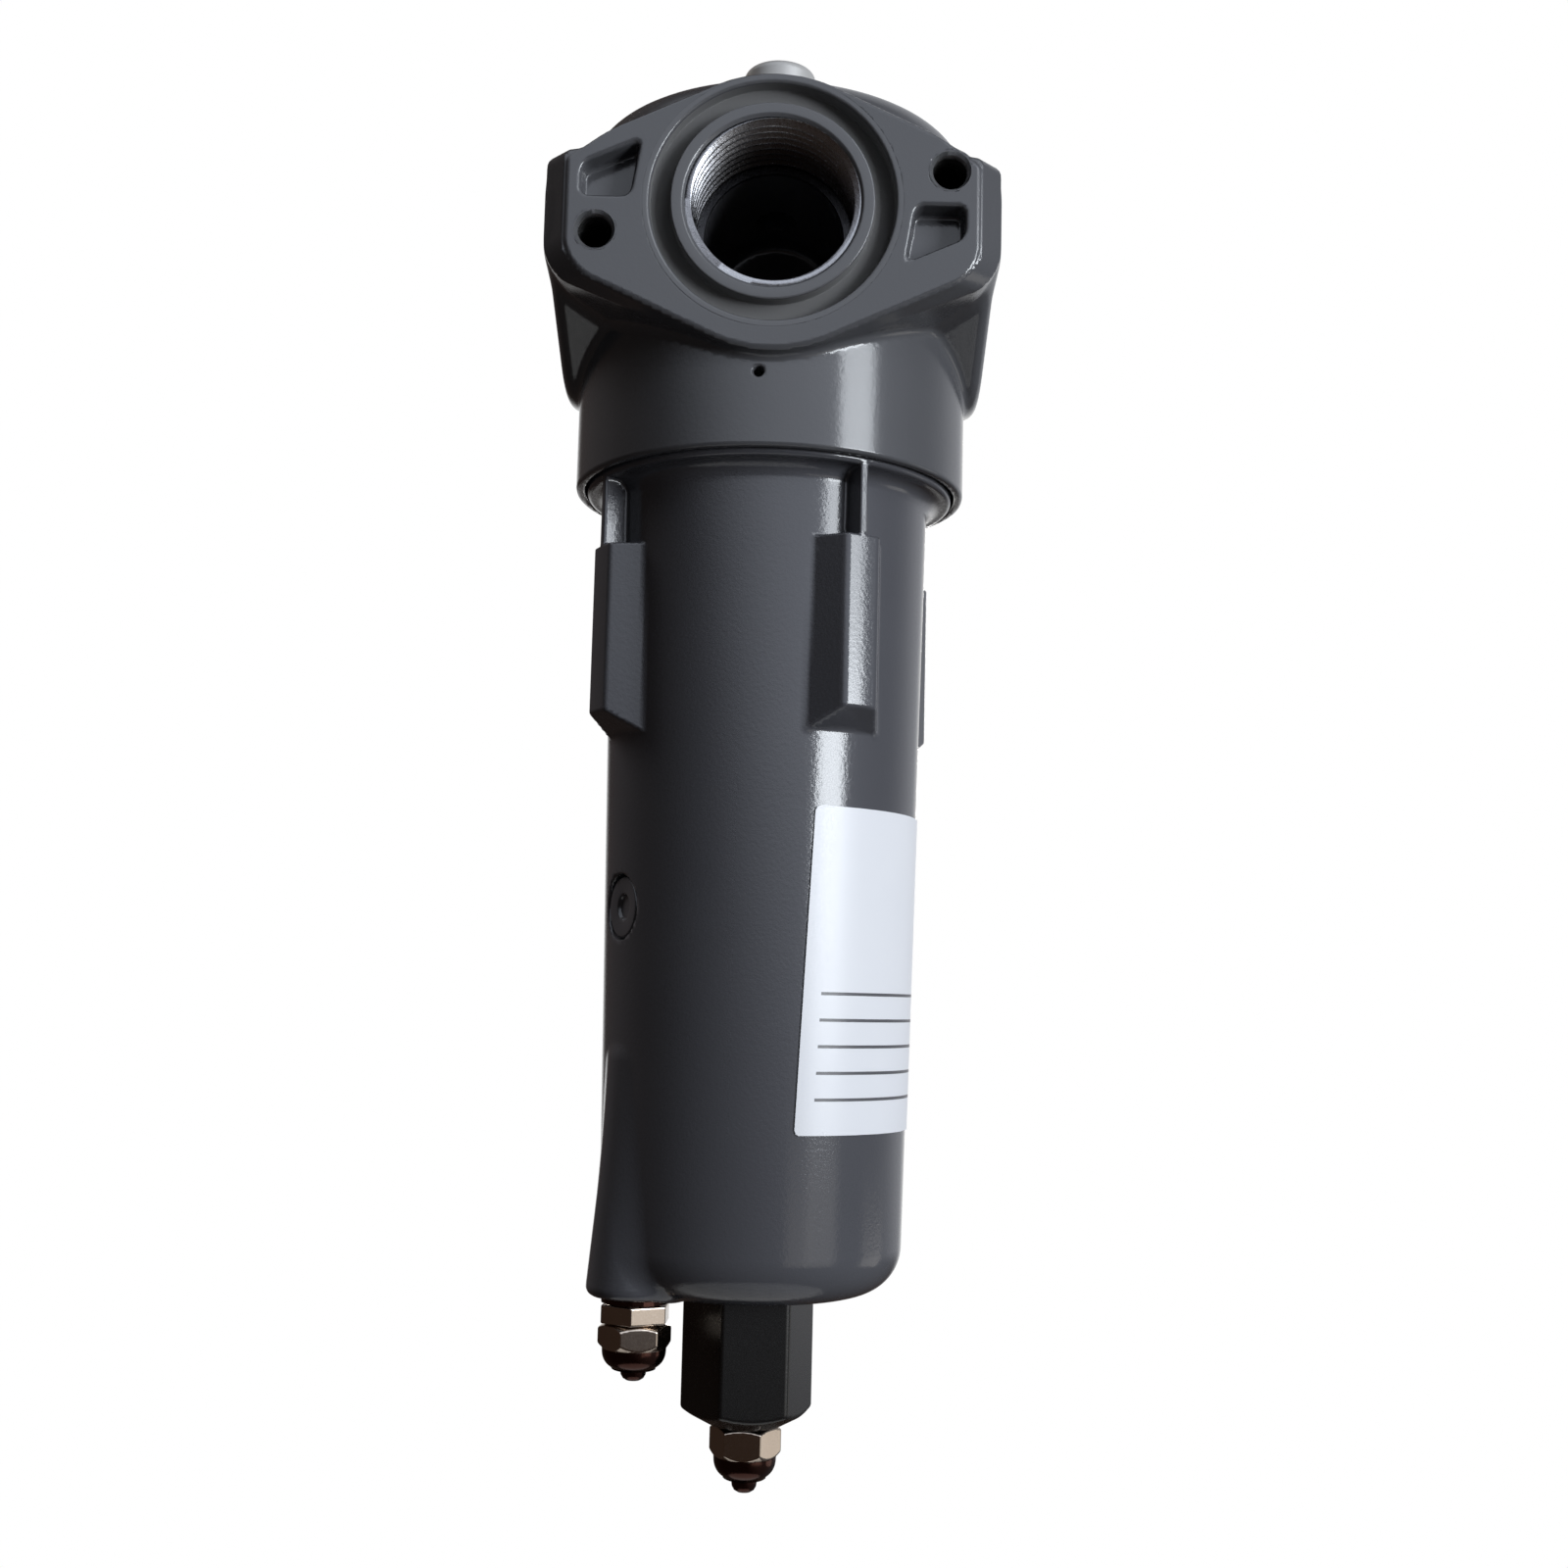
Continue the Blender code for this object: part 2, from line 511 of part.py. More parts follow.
def pleated_ring(inner, outer, low, high):
    """Pleated media: a folded wall whose two faces zigzag between an inner and an outer circle."""
    shape = bmesh.new()
    loops = []
    for level in (low, high):
        for crest, valley in ((outer, inner + PLEAT_WALL), (outer - PLEAT_WALL, inner)):
            loop = []
            for k in range(2 * PLEATS):
                radius = valley if k % 2 else crest
                angle = math.pi * k / PLEATS
                loop.append(shape.verts.new((radius * math.cos(angle), radius * math.sin(angle), level)))
            loops.append(loop)
    low_out, low_in, high_out, high_in = loops
    for first, second in ((low_out, high_out), (high_out, high_in), (high_in, low_in), (low_in, low_out)):
        for k, corner in enumerate(first):
            after = (k + 1) % len(first)
            shape.faces.new((corner, first[after], second[after], second[k]))
    return shape


def radial_plates(profile, thickness):
    """One plate for each rib: a (radius, height) profile made thick across and copied round the bowl."""
    shape = bmesh.new()
    for number in range(RIB_COUNT):
        plate = loft([[(r, y, z) for r, z in profile] for y in (-thickness / 2, thickness / 2)])
        turn = Matrix.Rotation(math.radians(RIB_FIRST_ANGLE + 360 * number / RIB_COUNT), 4, "Z")
        bmesh.ops.transform(plate, matrix=turn, verts=plate.verts)
        piece = bpy.data.meshes.new("rib")
        plate.to_mesh(piece)
        plate.free()
        shape.from_mesh(piece)
        bpy.data.meshes.remove(piece)
    return shape


def side_axis():
    """Where the side connection's axis stands on plan."""
    angle = math.radians(SIDE_ANGLE)
    return Vector((SIDE_OFFSET * math.cos(angle), SIDE_OFFSET * math.sin(angle), 0))


def plug_turn():
    """Turns the Z axis to point outwards along the side plug's axis."""
    level = COLLAR_Z - PLUG_DROP
    tip = Matrix.Rotation(math.radians(SIDE_ANGLE), 4, "Z") @ Matrix.Rotation(math.radians(90), 4, "Y")
    return Matrix.Translation((0, 0, level)) @ tip


def make_bowl():
    """The screw-on bowl: threaded neck, flange, drafted wall, grip ribs and the side connection's boss."""
    groove_floor = SEAL_RADIUS - SEAL_SECTION - CLEAR
    half = SEAL_SECTION + CLEAR
    foot = bowl_radius(BOWL_BOTTOM + BOWL_CORNER)
    fillet_end = FLANGE_BOTTOM - FLANGE_FILLET
    outside = [(0, NECK_TOP), (LAND_RADIUS, NECK_TOP), (LAND_RADIUS, SEAL_Z + half),
               (groove_floor, SEAL_Z + half), (groove_floor, SEAL_Z - half), (LAND_RADIUS, SEAL_Z - half),
               (LAND_RADIUS, THREAD_TOP), (THREAD_RADIUS, THREAD_TOP), (THREAD_RADIUS, FLANGE_TOP),
               (FLANGE_RADIUS, FLANGE_TOP), (FLANGE_RADIUS, FLANGE_BOTTOM)]
    outside += arc((bowl_radius(fillet_end) + FLANGE_FILLET, fillet_end), FLANGE_FILLET, 90, 180, 3)
    outside += arc((foot - BOWL_CORNER, BOWL_BOTTOM + BOWL_CORNER), BOWL_CORNER, 0, -90, 5)
    outside += [(0, BOWL_BOTTOM)]
    bowl = place("bowl", lathe(outside, FINE), POWDER_COAT)

    pad_top = COLLAR_Z - RIB_PAD_DROP
    pad_low = pad_top - RIB_PAD_LENGTH
    root = bowl_radius(pad_low) - BOWL_WALL / 2
    web_edge = FLANGE_RADIUS - CLEAR
    web_top = (FLANGE_TOP + FLANGE_BOTTOM) / 2
    web = [(root, pad_top - OVERLAP), (web_edge, pad_top - OVERLAP), (web_edge, web_top), (root, web_top)]
    combine(bowl, "UNION", place("rib_webs", radial_plates(web, RIB_WEB)))
    pad = [(root, pad_low - RIB_PAD_SLOPE), (root + BOWL_WALL / 2, pad_low - RIB_PAD_SLOPE),
           (FLANGE_RADIUS, pad_low), (FLANGE_RADIUS, pad_top), (root, pad_top)]
    combine(bowl, "UNION", place("rib_pads", radial_plates(pad, RIB_PAD)))

    tip_level = BOWL_BOTTOM + SIDE_BOSS_HEIGHT
    tip_offset = bowl_radius(tip_level) - OVERLAP - SIDE_BOSS_TIP_RADIUS
    sections = []
    for offset, radius, level in ((SIDE_OFFSET, SIDE_BOSS_RADIUS, BOWL_BOTTOM),
                                  (tip_offset, SIDE_BOSS_TIP_RADIUS, tip_level)):
        circle = arc((0, 0), radius, 0, 360, ROUND)[:-1]
        sections.append([(offset + x, y, level) for x, y in circle])
    boss = loft(sections)
    bmesh.ops.transform(boss, matrix=Matrix.Rotation(math.radians(SIDE_ANGLE), 4, "Z"), verts=boss.verts)
    combine(bowl, "UNION", place("side_boss", boss))

    top_radius = BOWL_RADIUS - BOWL_WALL
    low_radius = bowl_radius(FLOOR_TOP + CAVITY_CORNER) - BOWL_WALL
    inside = [(0, NECK_TOP + OVERLAP), (top_radius, NECK_TOP + OVERLAP), (top_radius, COLLAR_Z)]
    inside += arc((low_radius - CAVITY_CORNER, FLOOR_TOP + CAVITY_CORNER), CAVITY_CORNER, 0, -90, 4)
    inside += [(0, FLOOR_TOP)]
    combine(bowl, "DIFFERENCE", place("bowl_cavity", lathe(inside, FINE)))

    plug_face = bowl_radius(COLLAR_Z - PLUG_DROP)
    pad_end = plug_face - BOWL_WALL - PLUG_PAD_DEPTH
    pad_body = rod(PLUG_RADIUS + PLUG_PAD_WALL, pad_end, plug_face - BOWL_WALL / 2, ROUND, plug_turn())
    combine(bowl, "UNION", place("plug_pad", pad_body))
    hole = rod(PLUG_RADIUS + CLEAR, pad_end - OVERLAP, plug_face + OVERLAP, ROUND, plug_turn())
    combine(bowl, "DIFFERENCE", place("plug_hole", hole))
    drain = rod(STEM_RADIUS + CLEAR, BOWL_BOTTOM - OVERLAP, FLOOR_TOP + OVERLAP, ROUND)
    combine(bowl, "DIFFERENCE", place("drain_hole", drain))
    side_top = BOWL_BOTTOM + SIDE_STUD_LENGTH + OVERLAP
    side = rod(SIDE_STUD_RADIUS + CLEAR, BOWL_BOTTOM - OVERLAP, side_top, SMALL,
               Matrix.Translation(side_axis()))
    combine(bowl, "DIFFERENCE", place("side_hole", side))
    place("bowl_seal", ring(SEAL_RADIUS, SEAL_SECTION, SEAL_Z, FINE), RUBBER)


def make_side_plug():
    """Hexagon-socket plug that closes the cross hole in the bowl wall, set just below the surface."""
    face = bowl_radius(COLLAR_Z - PLUG_DROP) - PLUG_RADIUS ** 2 / (2 * BOWL_RADIUS)
    end = bowl_radius(COLLAR_Z - PLUG_DROP) - BOWL_WALL - PLUG_PAD_DEPTH
    plug = place("side_plug", rod(PLUG_RADIUS, end, face, ROUND, plug_turn()), POWDER_COAT)
    socket = bar(polygon(2 * PLUG_SOCKET, 6, 0), face - PLUG_SOCKET_DEPTH, face + OVERLAP)
    bmesh.ops.transform(socket, matrix=plug_turn(), verts=socket.verts)
    combine(plug, "DIFFERENCE", place("side_plug_socket", socket))


def make_label():
    """A thin curved film on the bowl wall, a little skewed, between two angles round the bowl."""
    top = COLLAR_Z - LABEL_TOP_DROP
    low = top - LABEL_HEIGHT
    sweep = LABEL_WIDTH / bowl_radius((top + low) / 2)
    steps = SMALL
    sections = []
    for k in range(steps + 1):
        section = []
        for level, lift in ((low, CLEAR), (low, CLEAR + LABEL_THICKNESS), (top, CLEAR + LABEL_THICKNESS),
                            (top, CLEAR)):
            skew = math.radians(LABEL_SKEW) * (level - low) / LABEL_HEIGHT
            angle = math.radians(LABEL_START_ANGLE) + sweep * k / steps + skew
            reach = bowl_radius(level) + lift
            section.append((reach * math.cos(angle), reach * math.sin(angle), level))
        sections.append(section)
    place("label", loft(sections), PAPER)


def make_drain():
    """The float drain: hexagon body, its stem through the bowl's floor, locknut, seat, guide and float."""
    corner = HEX_ACROSS / 2 / math.cos(math.pi / 6)
    nose_slope = HEX_NOSE / (corner - HEX_NOSE_RADIUS)
    outer = corner + OVERLAP
    blank = [(0, HEX_TOP + OVERLAP), (outer, HEX_TOP + OVERLAP),
             (outer, HEX_TOP - HEX_HEIGHT + OVERLAP * nose_slope), (HEX_NOSE_RADIUS, HEX_END),
             (HEX_NOSE_RADIUS, HEX_END - OVERLAP), (0, HEX_END - OVERLAP)]
    body = place("drain_body", bar(polygon(HEX_ACROSS, 6, HEX_TURN), HEX_END, HEX_TOP), BLACK_PLASTIC)
    combine(body, "INTERSECT", place("drain_body_blank", lathe(blank, ROUND)))
    combine(body, "UNION", place("drain_stem", rod(STEM_RADIUS, HEX_TOP - OVERLAP, STEM_TOP, ROUND)))
    nipple_top = HEX_END + NIPPLE_LENGTH + CLEAR
    drain_way = rod(DRAIN_BORE_RADIUS, HEX_END, STEM_TOP + OVERLAP, SMALL)
    combine(body, "DIFFERENCE", place("drain_way", drain_way))
    nipple_hole = rod(NIPPLE_RADIUS + CLEAR, HEX_END - OVERLAP, nipple_top, SMALL)
    combine(body, "DIFFERENCE", place("nipple_hole", nipple_hole))
    seat_low = STEM_TOP - SEAT_THICKNESS
    seat_hole = rod(SEAT_RADIUS + CLEAR, seat_low - CLEAR, STEM_TOP + OVERLAP, SMALL)
    combine(body, "DIFFERENCE", place("seat_hole", seat_hole))

    washer_low = FLOOR_TOP + CLEAR
    washer_high = washer_low + WASHER_THICKNESS
    place("drain_washer", tube(STEM_RADIUS + CLEAR, WASHER_RADIUS, washer_low, washer_high, ROUND), RUBBER)
    nut_low = washer_high + CLEAR
    nut = place("drain_locknut", bar(polygon(LOCKNUT_ACROSS, 6, 0), nut_low, nut_low + LOCKNUT_HEIGHT),
                BLACK_PLASTIC)
    nut_bore = rod(STEM_RADIUS + CLEAR, nut_low - OVERLAP, nut_low + LOCKNUT_HEIGHT + OVERLAP, ROUND)
    combine(nut, "DIFFERENCE", place("locknut_bore", nut_bore))
    place("valve_seat", tube(SEAT_BORE_RADIUS, SEAT_RADIUS, seat_low, STEM_TOP, SMALL), BRASS)

    foot_top = GUIDE_BASE + GUIDE_FOOT
    guide = [(GUIDE_BORE_RADIUS, GUIDE_TOP), (GUIDE_RADIUS, GUIDE_TOP), (GUIDE_RADIUS, foot_top),
             (GUIDE_FOOT_RADIUS, foot_top), (GUIDE_FOOT_RADIUS, GUIDE_BASE), (GUIDE_BORE_RADIUS, GUIDE_BASE)]
    guide = place("float_guide", lathe(guide, ROUND), WHITE_PLASTIC)
    slot_half = PIN_RADIUS + CLEAR
    slot = [(-slot_half, PIN_Z - slot_half), (slot_half, PIN_Z - slot_half),
            (slot_half, PIN_Z + FLOAT_TRAVEL + slot_half), (-slot_half, PIN_Z + FLOAT_TRAVEL + slot_half)]
    reach = GUIDE_RADIUS + OVERLAP
    slot_body = loft([[(x, y, z) for y, z in slot] for x in (-reach, reach)])
    combine(guide, "DIFFERENCE", place("pin_slot", slot_body))
    inlet_level = GUIDE_BASE + GUIDE_FOOT / 2
    inlet = rod(GUIDE_INLET_RADIUS, -GUIDE_FOOT_RADIUS - OVERLAP, GUIDE_FOOT_RADIUS + OVERLAP, SMALL,
                Matrix.Translation((0, 0, inlet_level)) @ ACROSS_Y)
    combine(guide, "DIFFERENCE", place("guide_inlets", inlet))
    cap_low = GUIDE_TOP + CLEAR
    peg = GUIDE_BORE_RADIUS - CLEAR
    cap = [(0, cap_low + GUIDE_CAP), (GUIDE_CAP_RADIUS, cap_low + GUIDE_CAP), (GUIDE_CAP_RADIUS, cap_low),
           (peg, cap_low), (peg, cap_low - GUIDE_CAP_PEG), (0, cap_low - GUIDE_CAP_PEG)]
    place("guide_cap", lathe(cap, ROUND), WHITE_PLASTIC)

    float_bore = GUIDE_RADIUS + CLEAR
    float_top = FLOAT_BASE + FLOAT_HEIGHT
    profile = [(float_bore, float_top)]
    profile += arc((FLOAT_RADIUS - FLOAT_ROUND, float_top - FLOAT_ROUND), FLOAT_ROUND, 90, 0, 3)
    profile += arc((FLOAT_RADIUS - FLOAT_ROUND, FLOAT_BASE + FLOAT_ROUND), FLOAT_ROUND, 0, -90, 3)
    profile += [(float_bore, FLOAT_BASE)]
    float_body = place("float", lathe(profile, ROUND), BLACK_PLASTIC)
    across_x = Matrix.Translation((0, 0, PIN_Z)) @ Matrix.Rotation(math.radians(90), 4, "Y")
    pin_hole = rod(PIN_RADIUS + CLEAR, -FLOAT_RADIUS - OVERLAP, FLOAT_RADIUS + OVERLAP, SMALL, across_x)
    combine(float_body, "DIFFERENCE", place("float_pin_hole", pin_hole))
    pin_half = FLOAT_RADIUS - FLOAT_ROUND
    place("float_pin", rod(PIN_RADIUS, -pin_half, pin_half, SMALL, across_x), STAINLESS)
    needle_top = PIN_Z + 2 * NEEDLE_RADIUS
    tip = SEAT_BORE_RADIUS - CLEAR
    needle = [(0, needle_top), (NEEDLE_RADIUS, needle_top), (NEEDLE_RADIUS, STEM_TOP + NEEDLE_TIP),
              (tip, STEM_TOP + CLEAR), (tip, STEM_TOP - CLEAR), (0, STEM_TOP - NEEDLE_TIP / 2)]
    needle = place("valve_needle", lathe(needle, SMALL), STAINLESS)
    eye = rod(PIN_RADIUS + CLEAR, -NEEDLE_RADIUS - OVERLAP, NEEDLE_RADIUS + OVERLAP, SMALL, across_x)
    combine(needle, "DIFFERENCE", place("needle_eye", eye))


def make_union(name, top, stud_end, hex_height, dome, stub, turn, parent=None):
    """A domed union nut and the blanking stub that it clamps under the end of a stud."""
    hex_low = top - hex_height
    dome_low = hex_low - dome
    stub_hole = STUB_RADIUS + CLEAR
    olive_top = stud_end - CLEAR
    olive_low = olive_top - OLIVE_HEIGHT
    corner = NUT_ACROSS / 2 / math.cos(math.pi / 6)
    bevel = corner - NUT_ACROSS / 2
    blank = [(0, top + OVERLAP), (NUT_ACROSS / 2, top + OVERLAP), (NUT_ACROSS / 2, top),
             (corner + CLEAR, top - bevel), (corner + CLEAR, hex_low + bevel / 2)]
    swell = NUT_ACROSS / 2 - NUT_DOME_RADIUS
    quarter = arc((0, 0), 1, 0, 90, 4)
    blank += [(NUT_DOME_RADIUS + swell * x, hex_low - dome * y) for x, y in quarter]
    blank += [(NUT_DOME_RADIUS, dome_low - OVERLAP), (0, dome_low - OVERLAP)]
    nut = place(f"{name}_nut", bar(polygon(NUT_ACROSS, 6, turn), dome_low, top), PLATING, parent=parent)
    combine(nut, "INTERSECT", place(f"{name}_nut_blank", lathe(blank, ROUND), parent=parent))
    bore = [(0, top + OVERLAP), (NUT_BORE_RADIUS, top + OVERLAP), (NUT_BORE_RADIUS, olive_low - CLEAR),
            (stub_hole, olive_low - CLEAR), (stub_hole, dome_low - OVERLAP), (0, dome_low - OVERLAP)]
    combine(nut, "DIFFERENCE", place(f"{name}_nut_bore", lathe(bore, ROUND), parent=parent))
    olive = NUT_BORE_RADIUS - CLEAR
    end = dome_low - stub
    blanking = [(0, olive_top), (olive, olive_top), (olive, olive_low), (STUB_RADIUS, olive_low),
                (STUB_RADIUS, end + CLEAR), (STUB_RADIUS - CLEAR, end), (0, end)]
    place(f"{name}_stub", lathe(blanking, ROUND), PLATING, parent=parent)


def make_outlet():
    """The drain's outlet: a nipple screwed into the hexagon body, with its union nut and blanking stub."""
    nipple_top = HEX_END + NIPPLE_LENGTH
    nut_top = HEX_END - CLEAR
    stud_end = nut_top - OUTLET_NUT_HEIGHT + OLIVE_HEIGHT / 2
    nipple = [(STUD_BORE_RADIUS, nipple_top), (NIPPLE_RADIUS, nipple_top), (NIPPLE_RADIUS, HEX_END),
              (STUD_RADIUS, HEX_END), (STUD_RADIUS, stud_end), (STUD_BORE_RADIUS, stud_end)]
    place("outlet_nipple", lathe(nipple, ROUND), PLATING)
    make_union("outlet", nut_top, stud_end, OUTLET_NUT_HEIGHT, OUTLET_NUT_DOME, OUTLET_STUB, OUTLET_TURN)


def make_side_fitting():
    """The side connection: washer, hexagon fitting screwed into the boss, union nut and blanking stub."""
    axis = bpy.data.objects.new("side_fitting_axis", None)
    bpy.context.scene.collection.objects.link(axis)
    axis.location = side_axis()
    washer_high = BOWL_BOTTOM - CLEAR
    washer_low = washer_high - SIDE_WASHER
    place("side_washer", tube(SIDE_STUD_RADIUS + CLEAR, SIDE_WASHER_RADIUS, washer_low, washer_high, ROUND),
          PLATING, parent=axis)
    hex_high = washer_low - CLEAR
    hex_low = hex_high - SIDE_BODY_HEIGHT
    nut_top = hex_low - SIDE_NECK
    stud_end = nut_top - SIDE_NUT_HEIGHT + OLIVE_HEIGHT / 2
    fitting = place("side_fitting", bar(polygon(NUT_ACROSS, 6, SIDE_TURN), hex_low, hex_high), PLATING,
                    parent=axis)
    stud = rod(SIDE_STUD_RADIUS, hex_high - OVERLAP, BOWL_BOTTOM + SIDE_STUD_LENGTH, ROUND)
    combine(fitting, "UNION", place("side_fitting_stud", stud, parent=axis))
    thread = rod(STUD_RADIUS, stud_end, hex_low + OVERLAP, ROUND)
    combine(fitting, "UNION", place("side_fitting_thread", thread, parent=axis))
    way = rod(STUD_BORE_RADIUS, stud_end - OVERLAP, BOWL_BOTTOM + SIDE_STUD_LENGTH + OVERLAP, SMALL)
    combine(fitting, "DIFFERENCE", place("side_fitting_way", way, parent=axis))
    make_union("side", nut_top, stud_end, SIDE_NUT_HEIGHT, SIDE_NUT_DOME, SIDE_STUB, SIDE_TURN, axis)


make_head()
make_gauge_plug()
make_element()
make_bowl()
make_side_plug()
make_label()
make_drain()
make_outlet()
make_side_fitting()
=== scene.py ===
"""Looks of a compressed air filter: a cast head on two pipe ports, a screw-on bowl and its drain fittings.

Metres, +Z up, with the inlet port facing -Y. The sections follow the filter as it is put together.
Shapes are worked out in millimetres and become metres when they are placed.
"""

import math

import bmesh
import bpy
import numpy as np
from mathutils import Matrix, Vector


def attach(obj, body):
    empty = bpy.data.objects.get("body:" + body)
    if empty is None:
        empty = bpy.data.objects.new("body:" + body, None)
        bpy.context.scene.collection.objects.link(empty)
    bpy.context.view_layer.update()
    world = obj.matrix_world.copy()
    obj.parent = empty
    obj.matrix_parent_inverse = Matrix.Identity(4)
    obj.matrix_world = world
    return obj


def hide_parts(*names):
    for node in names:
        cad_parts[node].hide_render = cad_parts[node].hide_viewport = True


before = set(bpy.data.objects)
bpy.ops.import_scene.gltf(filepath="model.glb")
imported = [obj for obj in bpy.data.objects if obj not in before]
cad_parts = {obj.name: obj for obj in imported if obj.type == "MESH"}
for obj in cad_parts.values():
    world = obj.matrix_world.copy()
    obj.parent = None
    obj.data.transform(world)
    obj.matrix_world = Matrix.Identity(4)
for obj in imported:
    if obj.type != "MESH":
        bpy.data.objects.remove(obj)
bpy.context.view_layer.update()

# Camera
# It stands in front of the inlet port, level with the middle of the bowl, and looks slightly up.
# Its small turn and roll set the filter a hair off upright in the frame.
MM = 0.001
FRAME_PIXELS = 1600
FOCAL_PIXELS = 1900
SENSOR = 36
CAMERA_PLACE = (0.007, -0.374, -0.147)
CAMERA_TURN = 0.39
CAMERA_TILT = 96.5
CAMERA_ROLL = 1.4

camera = bpy.data.objects.new("camera", bpy.data.cameras.new("camera"))
camera.data.sensor_width = SENSOR
camera.data.lens = SENSOR * FOCAL_PIXELS / FRAME_PIXELS
camera.data.clip_start = 0.01
camera_turn = Matrix.Rotation(math.radians(CAMERA_TURN), 4, "Z")
camera_turn = camera_turn @ Matrix.Rotation(math.radians(CAMERA_TILT), 4, "X")
camera_turn = camera_turn @ Matrix.Rotation(math.radians(CAMERA_ROLL), 4, "Z")
camera.matrix_world = Matrix.Translation(CAMERA_PLACE) @ camera_turn
bpy.context.scene.collection.objects.link(camera)
bpy.context.scene.camera = camera

# Head casting
# The die-cast aluminium body that hangs on the two pipes: a collar for the bowl, two lozenge flanges
# joined by a bar along the ports, and a lobe on each side. It is coated with dark slate powder paint.
COLLAR_RADIUS = 39.5
COLLAR_END = -46.0
HEAD_TOP = 28.0
SHOULDER = 8.0
FACE = 42.5
FLANGE_DROP = 1.8
FLANGE_MIDDLE = 26.8
FLANGE_HALF_WIDTH = 38.7
FLANGE_END_HALF = 11.5
FLANGE_UPPER_CORNER = 0.7
FLANGE_LOWER_CORNER = 5.0
FLANGE_CUT = (0.597, 0.802, 30.6)
FLANGE_EDGE = 0.9
EAR_TAPER = 4.2
EAR_SETBACK = 4.5
EAR_HALF_WIDTH = FLANGE_HALF_WIDTH + EAR_TAPER
EAR_HALF_HEIGHT = 11.2
EAR_CORNER = 2.0
LOBE_MIDDLE = 25.0
LOBE_HALF_LENGTH = 39.0
LOBE_END_HALF = 8.0
LOBE_CORNER = 4.5
LOBE_EDGE = 3.0
CAST_FILLET = 1.6
BOSS_RADIUS = 10.0
BOSS_TOP = 37.5
BOSS_FILLET = 4.0
POCKET_X = (25.0, 35.8)
POCKET_BASE = 0.4
POCKET_TOPS = (11.3, 6.5)
POCKET_LEAN = 0.16
POCKET_DEPTH = 5.0
POCKET_EDGE = 0.9
POCKET_CORNER = 1.5
PASSAGE = 14.0
INLET_END = 12.3
OUTLET_START = 17.3
ELBOW_RADIUS = 17.5
SPIGOT_BORE = 12.3
SPIGOT_RADIUS = 16.3
SPIGOT_END = -30.0
SOCKET_STEPS = ((29.0, -6.0), (33.7, -25.2), (35.0, -33.2), (37.6, -40.7))
PORT_SEAT = (23.9, 3.4)
PORT_SEAT_DEEP = (17.3, 20.2)
BOLT_X = 33.0
BOLT_Z = 6.4
BOLT_SEAT = (3.8, 17.2)
BOLT_BOSS = (5.0, 1.0, 19.0)
TELL_TALE_X = -1.9
TELL_TALE_Z = -31.8
TELL_TALE_RADIUS = 0.95
GAUGE_HOLE = 4.2
CAST_EDGE = 0.8
FINE_EDGE = 0.5
INLET_ROUND = 2.0
POCKET_FLOOR_ROUND = 0.6
EAR_GAP = 0.6
LOBE_GAP = 0.4
MERGE = 1.0
HEAD_REACH = 44.0
EAR_TIP = 40.0
HEAD_STEP = 0.9
HEAD_FINEST = 0.4
HEAD_SPREAD = 3.0
GRID_MARGIN = 2.0


def round_max(a, b, radius):
    """Common part of two bodies given by their distances, with the edge between them rounded."""
    corner = np.hypot(np.maximum(a + radius, 0), np.maximum(b + radius, 0))
    return np.minimum(np.maximum(a, b), -radius) + corner


def round_min(a, b, radius):
    """Union of two bodies given by their distances, with a fillet in the corner between them."""
    return -round_max(-a, -b, radius)


def lozenge(across, up, middle, half_width, end_half, corner):
    """Distance to a flange outline: a round middle, edges tangent to it, and two upright ends.

    Past the angle where the edge leaves the circle, the distance is that to the tangent line.
    """
    lean = np.arcsin(middle / np.hypot(half_width, end_half)) - np.arctan2(end_half, half_width)
    beyond = np.maximum(np.arctan2(np.abs(across), np.abs(up)) - lean, 0)
    edge = np.hypot(across, up) * np.cos(beyond) - middle
    return round_max(edge, np.abs(across) - half_width, corner)


def head_ways(x, y, z, radius):
    """Distance to the air ways, the bowl's socket, and the seats of the machined port edges."""
    along = np.hypot(x, z)
    socket = np.minimum.reduce([np.maximum(radius - r, z - top) for r, top in SOCKET_STEPS])
    elbow = np.minimum(np.maximum(along - ELBOW_RADIUS, y - SPIGOT_RADIUS),
                       np.maximum(radius - SPIGOT_RADIUS, np.maximum(SPIGOT_END - z, z)))
    ways = round_max(socket, -elbow, CAST_EDGE)
    ways = np.minimum(ways, round_max(along - PASSAGE, y - INLET_END, INLET_ROUND))
    ways = np.minimum(ways, np.maximum(along - PASSAGE, OUTLET_START - y))
    ways = np.minimum(ways, np.maximum(radius - SPIGOT_BORE, z))
    ways = np.minimum(ways, np.maximum(radius - GAUGE_HOLE, PASSAGE - MERGE - z))
    for reach, depth in (PORT_SEAT, PORT_SEAT_DEEP):
        ways = np.minimum(ways, np.maximum(along - reach, FACE - depth - np.abs(y)))
    drill = np.hypot(x - TELL_TALE_X, z - TELL_TALE_Z) - TELL_TALE_RADIUS
    return np.minimum(ways, np.maximum(drill, y + SOCKET_STEPS[0][0]))


